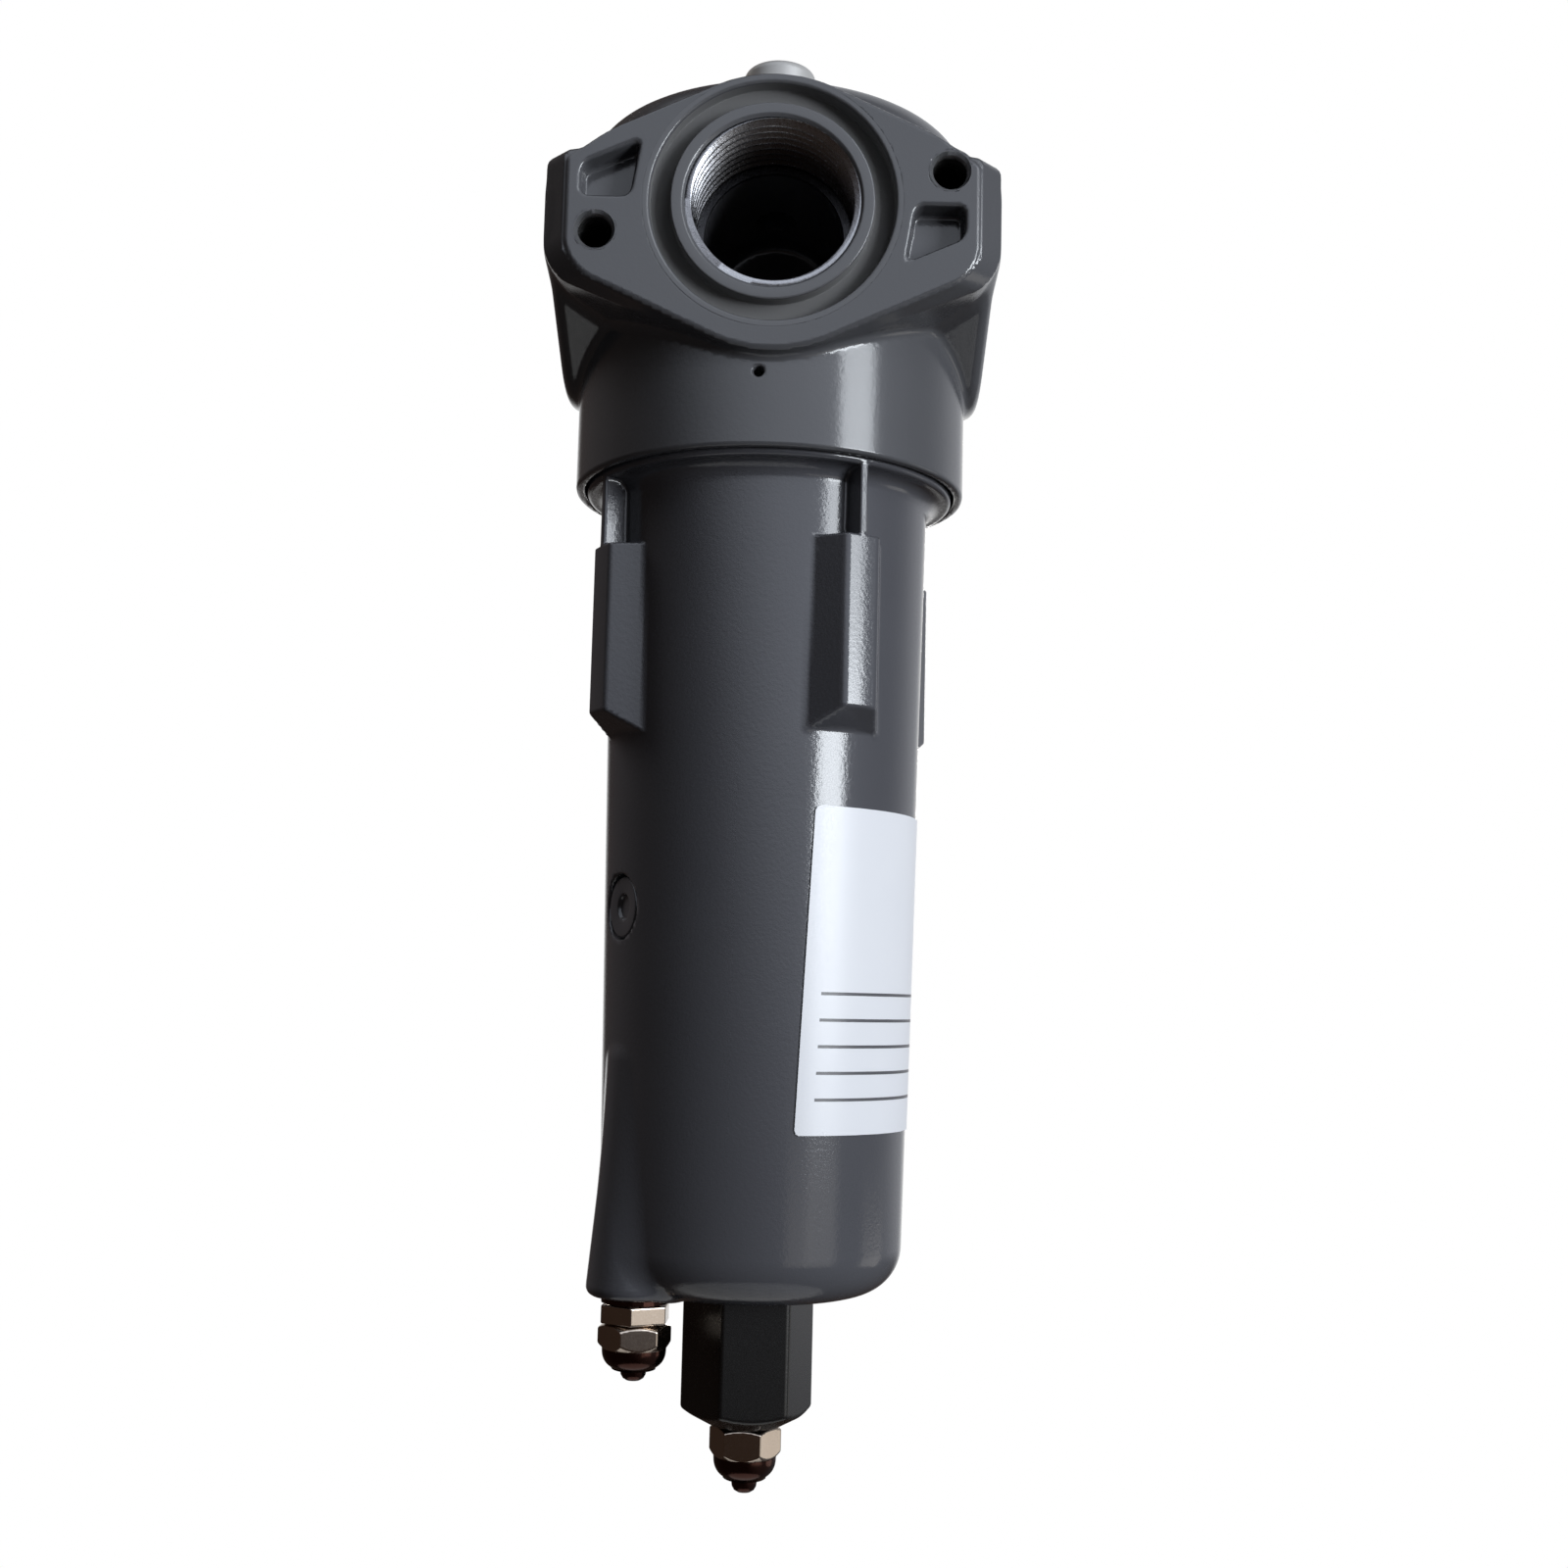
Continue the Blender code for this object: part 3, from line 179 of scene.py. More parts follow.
def head_recesses(x, y, z):
    """Distances to the bolt holes' seats, the bosses round them and the weight-saving pockets.

    All are alike after half a turn about Z.
    """
    turned = -np.sign(y) * x
    side = np.sign(turned)
    depth = FACE - np.abs(y)
    bolts = np.hypot(np.abs(turned) - BOLT_X, side * z - BOLT_Z)
    holes = np.maximum(bolts - BOLT_SEAT[0], depth - BOLT_SEAT[1])
    boss_radius, boss_start, boss_end = BOLT_BOSS
    bosses = round_max(bolts - boss_radius, np.maximum(boss_start - depth, depth - boss_end), FINE_EDGE)
    out = np.abs(turned)
    up = -side * z
    slope = (POCKET_TOPS[0] - POCKET_TOPS[1]) / (POCKET_X[1] - POCKET_X[0])
    top = (up - POCKET_TOPS[0] + slope * (out - POCKET_X[0])) / math.hypot(1, slope)
    inner = POCKET_X[0] - out + POCKET_LEAN * (POCKET_TOPS[0] - up)
    pocket = round_max(np.maximum(inner, out - POCKET_X[1]), np.maximum(POCKET_BASE - up, top),
                       POCKET_CORNER)
    return holes, bosses, round_max(pocket, depth - POCKET_DEPTH, POCKET_FLOOR_ROUND)


def head_field(x, y, z):
    """Distance to the head casting in mm, negative inside the metal."""
    radius = np.hypot(x, y)
    level = z + FLANGE_DROP
    collar = round_max(radius - COLLAR_RADIUS, z - HEAD_TOP, SHOULDER)
    collar = round_max(collar, COLLAR_END - z, CAST_EDGE)
    out = np.abs(x)
    corner = np.where(level > 0, FLANGE_UPPER_CORNER, FLANGE_LOWER_CORNER)
    flange = lozenge(x, level, FLANGE_MIDDLE, FLANGE_HALF_WIDTH, FLANGE_END_HALF, corner)
    cut = FLANGE_CUT[0] * out + FLANGE_CUT[1] * level - FLANGE_CUT[2]
    flange = round_max(flange, cut, FLANGE_UPPER_CORNER)
    setback = np.clip((FACE - np.abs(y)) / EAR_SETBACK, 0, 1)
    ears = lozenge(x, np.minimum(level, 0), FLANGE_MIDDLE, FLANGE_HALF_WIDTH + EAR_TAPER * setback,
                   EAR_HALF_HEIGHT, FLANGE_LOWER_CORNER)
    ears = round_max(ears, level - EAR_HALF_HEIGHT, EAR_CORNER)
    ears = np.maximum(ears, np.abs(y) - FACE + EAR_GAP)
    flange = round_min(round_max(flange, np.abs(y) - FACE, FLANGE_EDGE), ears, FINE_EDGE)
    holes, bosses, pockets = head_recesses(x, y, z)
    flange = round_min(flange, bosses, FINE_EDGE)
    lobes = lozenge(y, level, LOBE_MIDDLE, LOBE_HALF_LENGTH, LOBE_END_HALF, LOBE_CORNER)
    lobes = round_max(lobes, out - EAR_HALF_WIDTH + LOBE_GAP, LOBE_EDGE)
    boss = round_max(radius - BOSS_RADIUS, z - BOSS_TOP, CAST_EDGE)
    metal = round_min(round_min(collar, lobes, CAST_FILLET), flange, CAST_FILLET)
    metal = round_min(metal, boss, BOSS_FILLET)
    metal = round_max(metal, -pockets, POCKET_EDGE)
    metal = np.maximum(metal, -holes)
    return round_max(metal, -head_ways(x, y, z, radius), FINE_EDGE)


def graded(low, high, step, finest, marks, spread, ticks=5000):
    """Places from low to high a step apart, and closer together round each mark."""
    ruler = np.linspace(low, high, ticks)
    near = np.min([np.abs(ruler - mark) for mark in marks], axis=0)
    spacing = finest + (step - finest) * np.clip(near / spread, 0, 1)
    count = np.append(0, np.cumsum(np.diff(ruler) / spacing[1:]))
    return np.interp(np.linspace(0, count[-1], math.ceil(count[-1]) + 1), count, ruler)


def surface_net(values, wrap=False):
    """Net of quads on the zero surface of a sampled field.

    Each cell that the surface crosses has one point, the mean of the crossings on the cell's edges,
    and each crossed edge has one face, between the four cells round it. With wrap, the first
    axis closes on itself. Points come back in grid steps.
    """
    cells = np.array(values.shape) - 1
    cells[0] += wrap
    unit = np.eye(3, dtype=int)
    total = np.zeros((cells.prod(), 3))
    hits = np.zeros(cells.prod())
    faces = []
    for axis in range(3):
        ahead = np.roll(values, -1, axis)
        crossed = (values < 0) != (ahead < 0)
        if axis or not wrap:
            crossed[(slice(None),) * axis + (-1,)] = False
        where = np.argwhere(crossed)
        here = values[crossed]
        share = here / (here - ahead[crossed])
        first, second = unit[(axis + 1) % 3], unit[(axis + 2) % 3]
        ring = []
        for back in (first + second, second, 0 * first, first):
            offset = back + unit[axis] * share[:, None]
            index = np.ravel_multi_index(((where - back) % cells).T, cells)
            hits += np.bincount(index, minlength=len(hits))
            for k in range(3):
                total[:, k] += np.bincount(index, offset[:, k], len(hits))
            ring.append(index)
        face = np.stack(ring, 1)
        faces.append(np.where(here[:, None] > 0, face[:, ::-1], face))
    used, faces = np.unique(np.concatenate(faces), return_inverse=True)
    places = np.stack(np.unravel_index(used, cells), 1) + total[used] / hits[used, None]
    return places, faces.reshape(-1, 4)


def settle(points, field, reach, rounds=4, nudge=0.02, least_steep=0.1):
    """Moves points onto the zero surface of a field by Newton steps, and gives the surface's normals."""
    def slope_at(points):
        nudges = nudge * np.eye(3)
        return np.stack([field(*(points + d).T) - field(*(points - d).T) for d in nudges], 1) / (2 * nudge)

    start = points
    for _ in range(rounds):
        slope = slope_at(points)
        steep = np.maximum((slope * slope).sum(1), least_steep)
        points = points - slope * (field(*points.T) / steep)[:, None]
        points = start + np.clip(points - start, -reach, reach)
    slope = slope_at(points)
    return points, slope / np.maximum(np.linalg.norm(slope, axis=1), 1e-9)[:, None]


def new_piece(name, points, faces, material, body, nodes=(), normals=None):
    """A mesh object from points in mm and an array of quads, riding on a body and standing for CAD nodes."""
    mesh = bpy.data.meshes.new(name)
    mesh.vertices.add(len(points))
    mesh.vertices.foreach_set("co", (points * MM).astype(np.float32).ravel())
    mesh.loops.add(faces.size)
    mesh.loops.foreach_set("vertex_index", faces.astype(np.int32).ravel())
    mesh.polygons.add(len(faces))
    mesh.polygons.foreach_set("loop_start", np.arange(0, faces.size, faces.shape[1], dtype=np.int32))
    mesh.update(calc_edges=True)
    mesh.shade_smooth()
    if normals is not None:
        mesh.normals_split_custom_set_from_vertices(normals.tolist())
    mesh.materials.append(material)
    piece = bpy.data.objects.new(name, mesh)
    bpy.context.scene.collection.objects.link(piece)
    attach(piece, body)
    if nodes:
        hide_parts(*nodes)
    return piece


def formed(name, field, axes, material, body, nodes=()):
    """A piece whose surface is the zero surface of a field, sampled on three lists of places."""
    x, y, z = np.meshgrid(*axes, indexing="ij", sparse=True)
    places, faces = surface_net(np.broadcast_to(field(x, y, z), [len(a) for a in axes]))
    points = np.stack([np.interp(p, np.arange(len(a)), a) for p, a in zip(places.T, axes)], 1)
    points, normals = settle(points, field, HEAD_STEP)
    return new_piece(name, points, faces, material, body, nodes, normals)


def add_node(tree, kind, inputs=(), **settings):
    """A shader node with its settings; an input that is a socket is linked, and any other is set."""
    made = tree.nodes.new("ShaderNode" + kind)
    for name, value in settings.items():
        setattr(made, name, value)
    for name, value in dict(inputs).items():
        if isinstance(value, bpy.types.NodeSocket):
            tree.links.new(value, made.inputs[name])
        else:
            made.inputs[name].default_value = value
    return made


def surface_grain():
    """Node group of noises on Object coordinates: a height of two sizes, a fine tone and a cloud."""
    group = bpy.data.node_groups.new("surface_grain", "ShaderNodeTree")
    for label, value in (("Coarse", 1200.0), ("Fine", 5000.0), ("Fine Share", 0.4)):
        socket = group.interface.new_socket(label, in_out="INPUT", socket_type="NodeSocketFloat")
        socket.default_value = value
    for label in ("Height", "Tone", "Cloud"):
        group.interface.new_socket(label, in_out="OUTPUT", socket_type="NodeSocketFloat")
    given, out = group.nodes.new("NodeGroupInput"), group.nodes.new("NodeGroupOutput")
    place = add_node(group, "TexCoord").outputs["Object"]
    coarse = add_node(group, "TexNoise", {"Vector": place, "Scale": given.outputs["Coarse"], "Detail": 1.0})
    fine = add_node(group, "TexNoise", {"Vector": place, "Scale": given.outputs["Fine"], "Detail": 2.0})
    cloud = add_node(group, "TexNoise", {"Vector": place, "Scale": 60.0, "Detail": 4.0})
    height = add_node(group, "Mix", {0: given.outputs["Fine Share"], 2: coarse.outputs[0],
                                     3: fine.outputs[0]})
    group.links.new(height.outputs[0], out.inputs["Height"])
    group.links.new(fine.outputs[0], out.inputs["Tone"])
    group.links.new(cloud.outputs[0], out.inputs["Cloud"])
    return group


GRAIN = surface_grain()


def mix_tones(tree, factor, low, high):
    """Colour that goes from low to high as a factor goes from 0 to 1."""
    return add_node(tree, "Mix", {"Factor": factor, "A": low, "B": high}, data_type="RGBA").outputs["Result"]


def finish(name, light, dark, roughness, grain, bump, metallic=0.0):
    """A Principled material: two close tones mixed by a cloudy noise, with grain in roughness and relief.

    roughness is a (least, most) pair, grain the (coarse, fine, fine share) of the grain group, and
    bump the (strength, depth in mm) of the relief.
    """
    material = bpy.data.materials.new(name)
    material.use_nodes = True
    tree = material.node_tree
    shader = tree.nodes["Principled BSDF"]
    group = add_node(tree, "Group", node_tree=GRAIN)
    for label, value in zip(("Coarse", "Fine", "Fine Share"), grain):
        group.inputs[label].default_value = value
    tone = mix_tones(tree, group.outputs["Cloud"], (*dark, 1), (*light, 1))
    rough = add_node(tree, "MapRange", {"Value": group.outputs["Tone"], "From Min": 0.3, "From Max": 0.7,
                                        "To Min": roughness[0], "To Max": roughness[1]})
    relief = add_node(tree, "Bump", {"Strength": bump[0], "Distance": bump[1] * MM,
                                     "Height": group.outputs["Height"]})
    tree.links.new(tone, shader.inputs["Base Color"])
    tree.links.new(rough.outputs[0], shader.inputs["Roughness"])
    tree.links.new(relief.outputs[0], shader.inputs["Normal"])
    shader.inputs["Metallic"].default_value = metallic
    return material


COAT = finish("slate_powder_coat", (0.088, 0.089, 0.097), (0.079, 0.080, 0.088), (0.12, 0.19),
              (1300.0, 4200.0, 0.35), (0.4, 0.06))

head_grid = ((-HEAD_REACH, HEAD_REACH, (-EAR_TIP, TELL_TALE_X, EAR_TIP)),
             (-HEAD_REACH, HEAD_REACH, (-FACE, FACE)),
             (COLLAR_END - GRID_MARGIN, BOSS_TOP + GRID_MARGIN, (COLLAR_END, TELL_TALE_Z)))
head_axes = [graded(low, high, HEAD_STEP, HEAD_FINEST, marks, HEAD_SPREAD) for low, high, marks in head_grid]
formed("head_casting", head_field, head_axes, COAT, "head", ("head",))

# Port edges and threads
# Both ports are bored and tapped after casting, one inch parallel pipe thread, eleven turns to the
# inch, with a face groove for an O-ring round a flat ring. The cuts go through the coat to bare metal.
THREAD_PITCH = 2.309
THREAD_CREST = 15.15
THREAD_ROOT = 16.6
THREAD_DEPTH = 19.0
PORT_MOUTH = 16.7
RING_RADIUS = 19.1
GROOVE_RADIUS = 23.0
GROOVE_DEPTH = 3.3
PORT_LIP = 24.3
PORT_BEVEL = ((0.3, 0.0, 0.25), (-0.25, 0.5, 0), (-0.1, 1.0, 0))
LIP_ROUND = 0.7
GROOVE_ROUND = 0.3
RING_ROUND = 0.35
GROOVE_PAINT = 0.7
RIM_NECK = 3.0
RIM_FOOT = 3.6
RIM_SIDES = 160
THREAD_START = 0.6
THREAD_ROWS = 120
THREAD_SIDES = 144
THREAD_WALL = 0.5
THREAD_TAIL = 1.0
THREAD_LEDGE = 0.9
THREAD_SHADE_DEPTHS = (2.0, 15.0)
SKIN = 0.2
PROUD = 0.03


def rounded(corners, steps=5):
    """Outline through (radius, height, rounding) corners of a closed shape, each rounded by an arc.

    The arc is a quadratic curve that starts and ends the rounding's length away from its corner.
    """
    corners = np.array(corners, float)
    spot = corners[:, :2]
    share = np.linspace(0, 1, steps)[:, None]
    outline = []
    for before, here, after, size in zip(np.roll(spot, 1, 0), spot, np.roll(spot, -1, 0), corners[:, 2]):
        if size == 0:
            outline.append(here[None])
            continue
        start = here + (before - here) / np.linalg.norm(before - here) * size
        end = here + (after - here) / np.linalg.norm(after - here) * size
        outline.append((1 - share) ** 2 * start + 2 * share * (1 - share) * here + share ** 2 * end)
    return np.concatenate(outline)


def ring_grid(outline, sides):
    """Radius, height and angle of a closed outline carried round an axis, as grids of angle and step."""
    angle = np.linspace(0, 2 * np.pi, sides, endpoint=False)[:, None]
    return outline[:, 0] + 0 * angle, outline[:, 1] + 0 * angle, angle + 0 * outline[:, 0]


def grid_faces(rows, columns):
    """Quads of a grid that closes on itself both ways."""
    index = np.arange(rows * columns).reshape(rows, columns)
    after = np.roll(index, -1, 0)
    corners = (index, after, np.roll(after, -1, 1), np.roll(index, -1, 1))
    return np.stack([c.ravel() for c in corners], 1)


def turned(name, radius, height, angle, place, material, body, slot, nodes=(), sharp=32):
    """A ring from grids of radius, height and angle, set in place by a 4 by 4 matrix in mm."""
    points = np.stack([radius * np.cos(angle), radius * np.sin(angle), height], -1).reshape(-1, 3)
    points = points @ np.array(place.to_3x3()).T + np.array(place.translation)
    piece = new_piece(name, points, grid_faces(*radius.shape), material, body, nodes)
    shape = bmesh.new()
    shape.from_mesh(piece.data)
    bmesh.ops.remove_doubles(shape, verts=shape.verts, dist=1e-7)
    bmesh.ops.recalc_face_normals(shape, faces=shape.faces)
    shape.to_mesh(piece.data)
    shape.free()
    piece.data.shade_smooth()
    piece.data.set_sharp_from_angle(angle=math.radians(sharp))
    return piece


def thread_wave(height, angle, pitch, sharpness=0.94):
    """Rounded triangle wave of a helix, from -1 to 1: the arcsine of a sine just short of full height."""
    return np.arcsin(sharpness * np.sin(2 * np.pi * height / pitch + angle)) / np.arcsin(sharpness)


def paint_faces(piece, material, chosen):
    """Gives a second material to the faces whose middles, in mm, a test picks out."""
    piece.data.materials.append(material)
    middles = np.empty(3 * len(piece.data.polygons))
    piece.data.polygons.foreach_get("center", middles)
    picked = chosen(middles.reshape(-1, 3) / MM)
    piece.data.polygons.foreach_set("material_index", picked.astype(np.int32))


def in_groove(middle):
    """Whether a point lies in the face groove: below the face, and outside the flat ring."""
    sunk = np.abs(middle[:, 1]) < FACE - GROOVE_PAINT
    return sunk & (np.hypot(middle[:, 0], middle[:, 2]) > RING_RADIUS - PROUD)


def math_node(tree, operation, *values):
    """Output of a math node that is fed sockets or plain values."""
    return add_node(tree, "Math", dict(enumerate(values)), operation=operation).outputs[0]


def smooth_step(tree, value, low, high):
    """Output that goes smoothly from 0 to 1 while a value goes from low to high."""
    return add_node(tree, "MapRange", {"Value": value, "From Min": low, "From Max": high},
                    interpolation_type="SMOOTHSTEP").outputs[0]


def overlay(material, factor, tone):
    """Lays a plain tone over a material's colour as far as a factor says."""
    tree = material.node_tree
    colour = tree.nodes["Principled BSDF"].inputs["Base Color"]
    tree.links.new(mix_tones(tree, factor, colour.links[0].from_socket, (*tone, 1)), colour)


def shaded_with_depth(material, near, far, tone):
    """Paints shade into a material's colour: takes it to a darker tone between two distances in mm from the
    mid-head plane, deeper into a port or hole.
    """
    tree = material.node_tree
    place = add_node(tree, "SeparateXYZ", {0: add_node(tree, "TexCoord").outputs["Object"]})
    reach = math_node(tree, "ABSOLUTE", place.outputs["Y"])
    overlay(material, smooth_step(tree, reach, near * MM, far * MM), tone)


RIM_COAT = finish("slate_powder_coat_rim", (0.106, 0.107, 0.115), (0.094, 0.095, 0.103), (0.14, 0.22),
                  (1100.0, 4200.0, 0.35), (0.4, 0.08))
GROOVE_COAT = finish("machined_groove", (0.178, 0.177, 0.179), (0.160, 0.159, 0.161), (0.60, 0.75),
                     (1100.0, 4200.0, 0.35), (0.4, 0.08))
GROOVE_COAT.node_tree.nodes["Principled BSDF"].inputs["Specular IOR Level"].default_value = 0.05
MACHINED = finish("tapped_thread", (0.42, 0.425, 0.44), (0.20, 0.20, 0.215), (0.22, 0.36),
                  (1500.0, 6000.0, 0.5), (0.7, 0.10), metallic=1.0)
# Painted shade: the thread's colour darkens from just inside the mouth to deep in the port, where shade
# falls.
shaded_with_depth(MACHINED, FACE - THREAD_SHADE_DEPTHS[0], FACE - THREAD_SHADE_DEPTHS[1], (0.05, 0.05, 0.053))
OUT_OF_INLET = Matrix.Rotation(math.radians(90), 4, "X")
PORT_WAYS = {"inlet": Matrix.Identity(4), "outlet": Matrix.Rotation(math.pi, 4, "Z")}
thread_rows = np.linspace(FACE - THREAD_START, FACE - THREAD_DEPTH, THREAD_ROWS)
thread_stretch = np.stack([np.full(THREAD_ROWS, (THREAD_CREST + THREAD_ROOT) / 2), thread_rows], 1)
rim_bore = PORT_SEAT_DEEP[0] - SKIN
thread_end = FACE - THREAD_DEPTH - THREAD_TAIL
thread_back = THREAD_ROOT + THREAD_WALL
for port, way in PORT_WAYS.items():
    rim = rounded(((PORT_LIP, FACE + PROUD, 0), (GROOVE_RADIUS, FACE + PROUD, LIP_ROUND),
                   (GROOVE_RADIUS, FACE - GROOVE_DEPTH, GROOVE_ROUND),
                   (RING_RADIUS, FACE - GROOVE_DEPTH, GROOVE_ROUND), (RING_RADIUS, FACE, RING_ROUND),
                   *((PORT_MOUTH + wider, FACE - depth, size) for wider, depth, size in PORT_BEVEL),
                   (rim_bore, FACE - RIM_NECK, 0), (rim_bore, FACE - RIM_FOOT, 0),
                   (PORT_LIP, FACE - RIM_FOOT, 0)))
    piece = turned(f"{port}_port_rim", *ring_grid(rim, RIM_SIDES), way @ OUT_OF_INLET, RIM_COAT, "head",
                   "powder_coat")
    paint_faces(piece, GROOVE_COAT, in_groove)
    tube = np.concatenate([thread_stretch, [(PASSAGE - SKIN, FACE - THREAD_DEPTH - SKIN),
                                            (PASSAGE - SKIN, thread_end), (thread_back, thread_end),
                                            (thread_back, FACE - THREAD_LEDGE)]])
    radius, height, angle = ring_grid(tube, THREAD_SIDES)
    wave = thread_wave(height, angle, THREAD_PITCH) * (THREAD_ROOT - THREAD_CREST) / 2
    radius[:, :THREAD_ROWS] += wave[:, :THREAD_ROWS]
    turned(f"{port}_port_thread", radius, height, angle, way @ OUT_OF_INLET, MACHINED, "head", "powder_coat",
           sharp=80)

# Bolt holes
# Two tapped holes in each flange, on a slant through the port's axis, for the bolts of a wall
# bracket or of the next unit. Their mouths are countersunk through the coat.
BOLT_RADIUS = 3.4
BOLT_MOUTH = 3.85
BOLT_LIP = 4.05
BOLT_BEVEL = 0.8
BOLT_START = 1.1
BOLT_DEPTH = 16.0
BOLT_TIP = 17.0
BOLT_BACK = 17.6
BOLT_PITCH = 1.25
BOLT_THREAD = 0.3
BOLT_ROWS = 100
BOLT_SIDES = 48
BOLT_SHADE_DEPTHS = (0.7, 2.0)
AXIS = 0.02

BOLT_METAL = finish("bolt_thread", (0.40, 0.405, 0.42), (0.24, 0.24, 0.255), (0.25, 0.40),
                    (1500.0, 6000.0, 0.5), (0.7, 0.10), metallic=0.75)
# Painted shade: the hole's colour goes nearly black below its countersink, where light does not reach.
shaded_with_depth(BOLT_METAL, FACE - BOLT_SHADE_DEPTHS[0], FACE - BOLT_SHADE_DEPTHS[1], (0.012, 0.012, 0.012))
bolt_rows = np.linspace(FACE - BOLT_START, FACE - BOLT_DEPTH, BOLT_ROWS)
bolt_mouth = [(BOLT_LIP, FACE + PROUD), (BOLT_MOUTH, FACE + PROUD), (BOLT_RADIUS, FACE - BOLT_BEVEL)]
sleeve = np.concatenate([bolt_mouth, np.stack([np.full(BOLT_ROWS, BOLT_RADIUS), bolt_rows], 1),
                         [(AXIS, FACE - BOLT_TIP), (AXIS, FACE - BOLT_BACK), (BOLT_LIP, FACE - BOLT_BACK)]])
threaded = slice(len(bolt_mouth), len(bolt_mouth) + BOLT_ROWS)
for port, way in PORT_WAYS.items():
    for side, sign in (("left", -1), ("right", 1)):
        radius, height, angle = ring_grid(sleeve, BOLT_SIDES)
        wave = thread_wave(height, angle, BOLT_PITCH) * BOLT_THREAD
        radius[:, threaded] += wave[:, threaded]
        where = way @ Matrix.Translation((sign * BOLT_X, 0, sign * BOLT_Z)) @ OUT_OF_INLET
        hole = turned(f"{port}_bolt_hole_{side}", radius, height, angle, where, BOLT_METAL, "head",
                      "powder_coat", sharp=50)
        paint_faces(hole, COAT, lambda middle: np.abs(middle[:, 1]) > FACE)

# Gauge plug
# A round-headed screw plug with a hexagon socket, of light grey metal, that closes the port for a
# pressure gauge on the top boss. It sits on a soft black washer.
PLUG_LOW = 39.3
PLUG_TOP = 46.4
PLUG_RADIUS = 7.5
PLUG_ROUND = 1.8
PLUG_STEM = 3.9
PLUG_STEM_END = 27.3
PLUG_FOOT_ROUND = 0.3
STEM_HEAD = 4.0
SOCKET_HALF = 2.5
SOCKET_FLOOR = 42.1
SOCKET_CORNER = 0.1
SOCKET_EDGE = 0.25
PLUG_REACH = 8.0
PLUG_STEP = 0.3


def hexagon(x, y, half, turn, corner):
    """Distance to a hexagon of a given half width across flats, with rounded corners."""
    turns = [math.radians(turn + 30 + 60 * k) for k in range(3)]
    first, second, third = (np.abs(math.cos(t) * x + math.sin(t) * y) - half for t in turns)
    return round_max(round_max(first, second, corner), third, corner)


def gauge_plug_field(x, y, z):
    """Round head with a domed edge, a stem below it and a hexagon socket in its top."""
    radius = np.hypot(x, y)
    top = round_max(radius - PLUG_RADIUS, z - PLUG_TOP, PLUG_ROUND)
    top = round_max(top, PLUG_LOW - z, PLUG_FOOT_ROUND)
    stem = np.maximum(radius - PLUG_STEM, np.maximum(PLUG_STEM_END - z, z - PLUG_TOP + STEM_HEAD))
    socket = np.maximum(hexagon(x, y, SOCKET_HALF, 0, SOCKET_CORNER), SOCKET_FLOOR - z)
    return round_max(np.minimum(top, stem), -socket, SOCKET_EDGE)


def even(low, high, step):
    """Places from low to high, about a step apart."""
    return np.linspace(low, high, math.ceil((high - low) / step) + 1)


def grid_round(reach, low, high, step, x=0.0, y=0.0):
    """Even places on three axes round an upright line at x and y: a reach each way, and from low to high."""
    return even(x - reach, x + reach, step), even(y - reach, y + reach, step), even(low, high, step)


PLUG_METAL = finish("light_grey_plug", (0.50, 0.49, 0.48), (0.42, 0.415, 0.41), (0.35, 0.5),
                    (1500.0, 6000.0, 0.4), (0.25, 0.03), metallic=0.2)
plug_axes = grid_round(PLUG_REACH, PLUG_STEM_END - MERGE, PLUG_TOP + MERGE, PLUG_STEP)
formed("gauge_screw_plug", gauge_plug_field, plug_axes, PLUG_METAL, "head",
       ("gauge_plug",))

# Bowl casting
# The die-cast aluminium bowl that screws into the collar: a drafted wall with a rounded foot, four
# grip ribs of a thin web and a thicker pad, and a boss for the side connection. Coated as the head.
BOWL_RADIUS = 32.3
BOWL_DRAFT = 0.0182
BOWL_WALL = 3.6
BOWL_END = -204.0
BOWL_CORNER = 9.0
FLOOR_TOP = -198.0
BOWL_FLANGE = (37.2, -41.0, -47.0)
BOWL_NECK = ((33.3, -25.5), (34.6, -33.5))
SEAL_GROOVE = (30.5, -27.3, -30.5)
RIB_ANGLES = (30, 120, 210, 300)
RIB_WEB = 1.7
RIB_PAD = 7.0
RIB_TAPER = 33.0
RIB_EDGE = 37.1
RIB_PAD_TOP = -60.5
RIB_PAD_END = -93.3
RIB_FOOT = (0.85, 0.53)
RIB_FOOT_ROUND = 0.6
RIB_ROUND = 0.4
PAD_PROUD = 0.1
WEB_TOP = -46.1
SIDE_ANGLE = 210.0
SIDE_BOSS = ((24.5, 9.7, -204.0), (24.66, 6.0, -164.0))
SIDE_RUN = (-0.2, 1.2)
SIDE_RISE = 6.0
SIDE_EDGE = 2.0
SIDE_FILLET = 2.5
RIM_EDGE = 0.9
RIM_FILLET = 3.0
NECK_OVERLAP = 2.0
CAVITY_CORNER = 6.0
INSIDE = 20.0
PLUG_LEVEL = -130.7
PLUG_HOLE = 6.3
PLUG_PAD = (9.0, 24.5, 29.0)
DRAIN_HOLE = 8.3
SIDE_HOLE = 4.9
SIDE_HOLE_TOP = -195.5
BOWL_STEP = 1.1
BOWL_FINEST = 0.5
BOWL_SPREAD = 5.0
RADIUS_REACH = (7.2, 39.0)
RADIUS_STEP = 1.2
RADIUS_MARKS = (DRAIN_HOLE, 29.0, 37.0)
RADIUS_SPREAD = 4.0
TURN_STEP = 2.2
TURN_FINEST = 0.8
TURN_SPREAD = 16.0


def radial_axes(x, y, degrees):
    """Coordinates along and across the radius at an angle round the bowl's axis."""
    turn = math.radians(degrees)
    return math.cos(turn) * x + math.sin(turn) * y, math.cos(turn) * y - math.sin(turn) * x


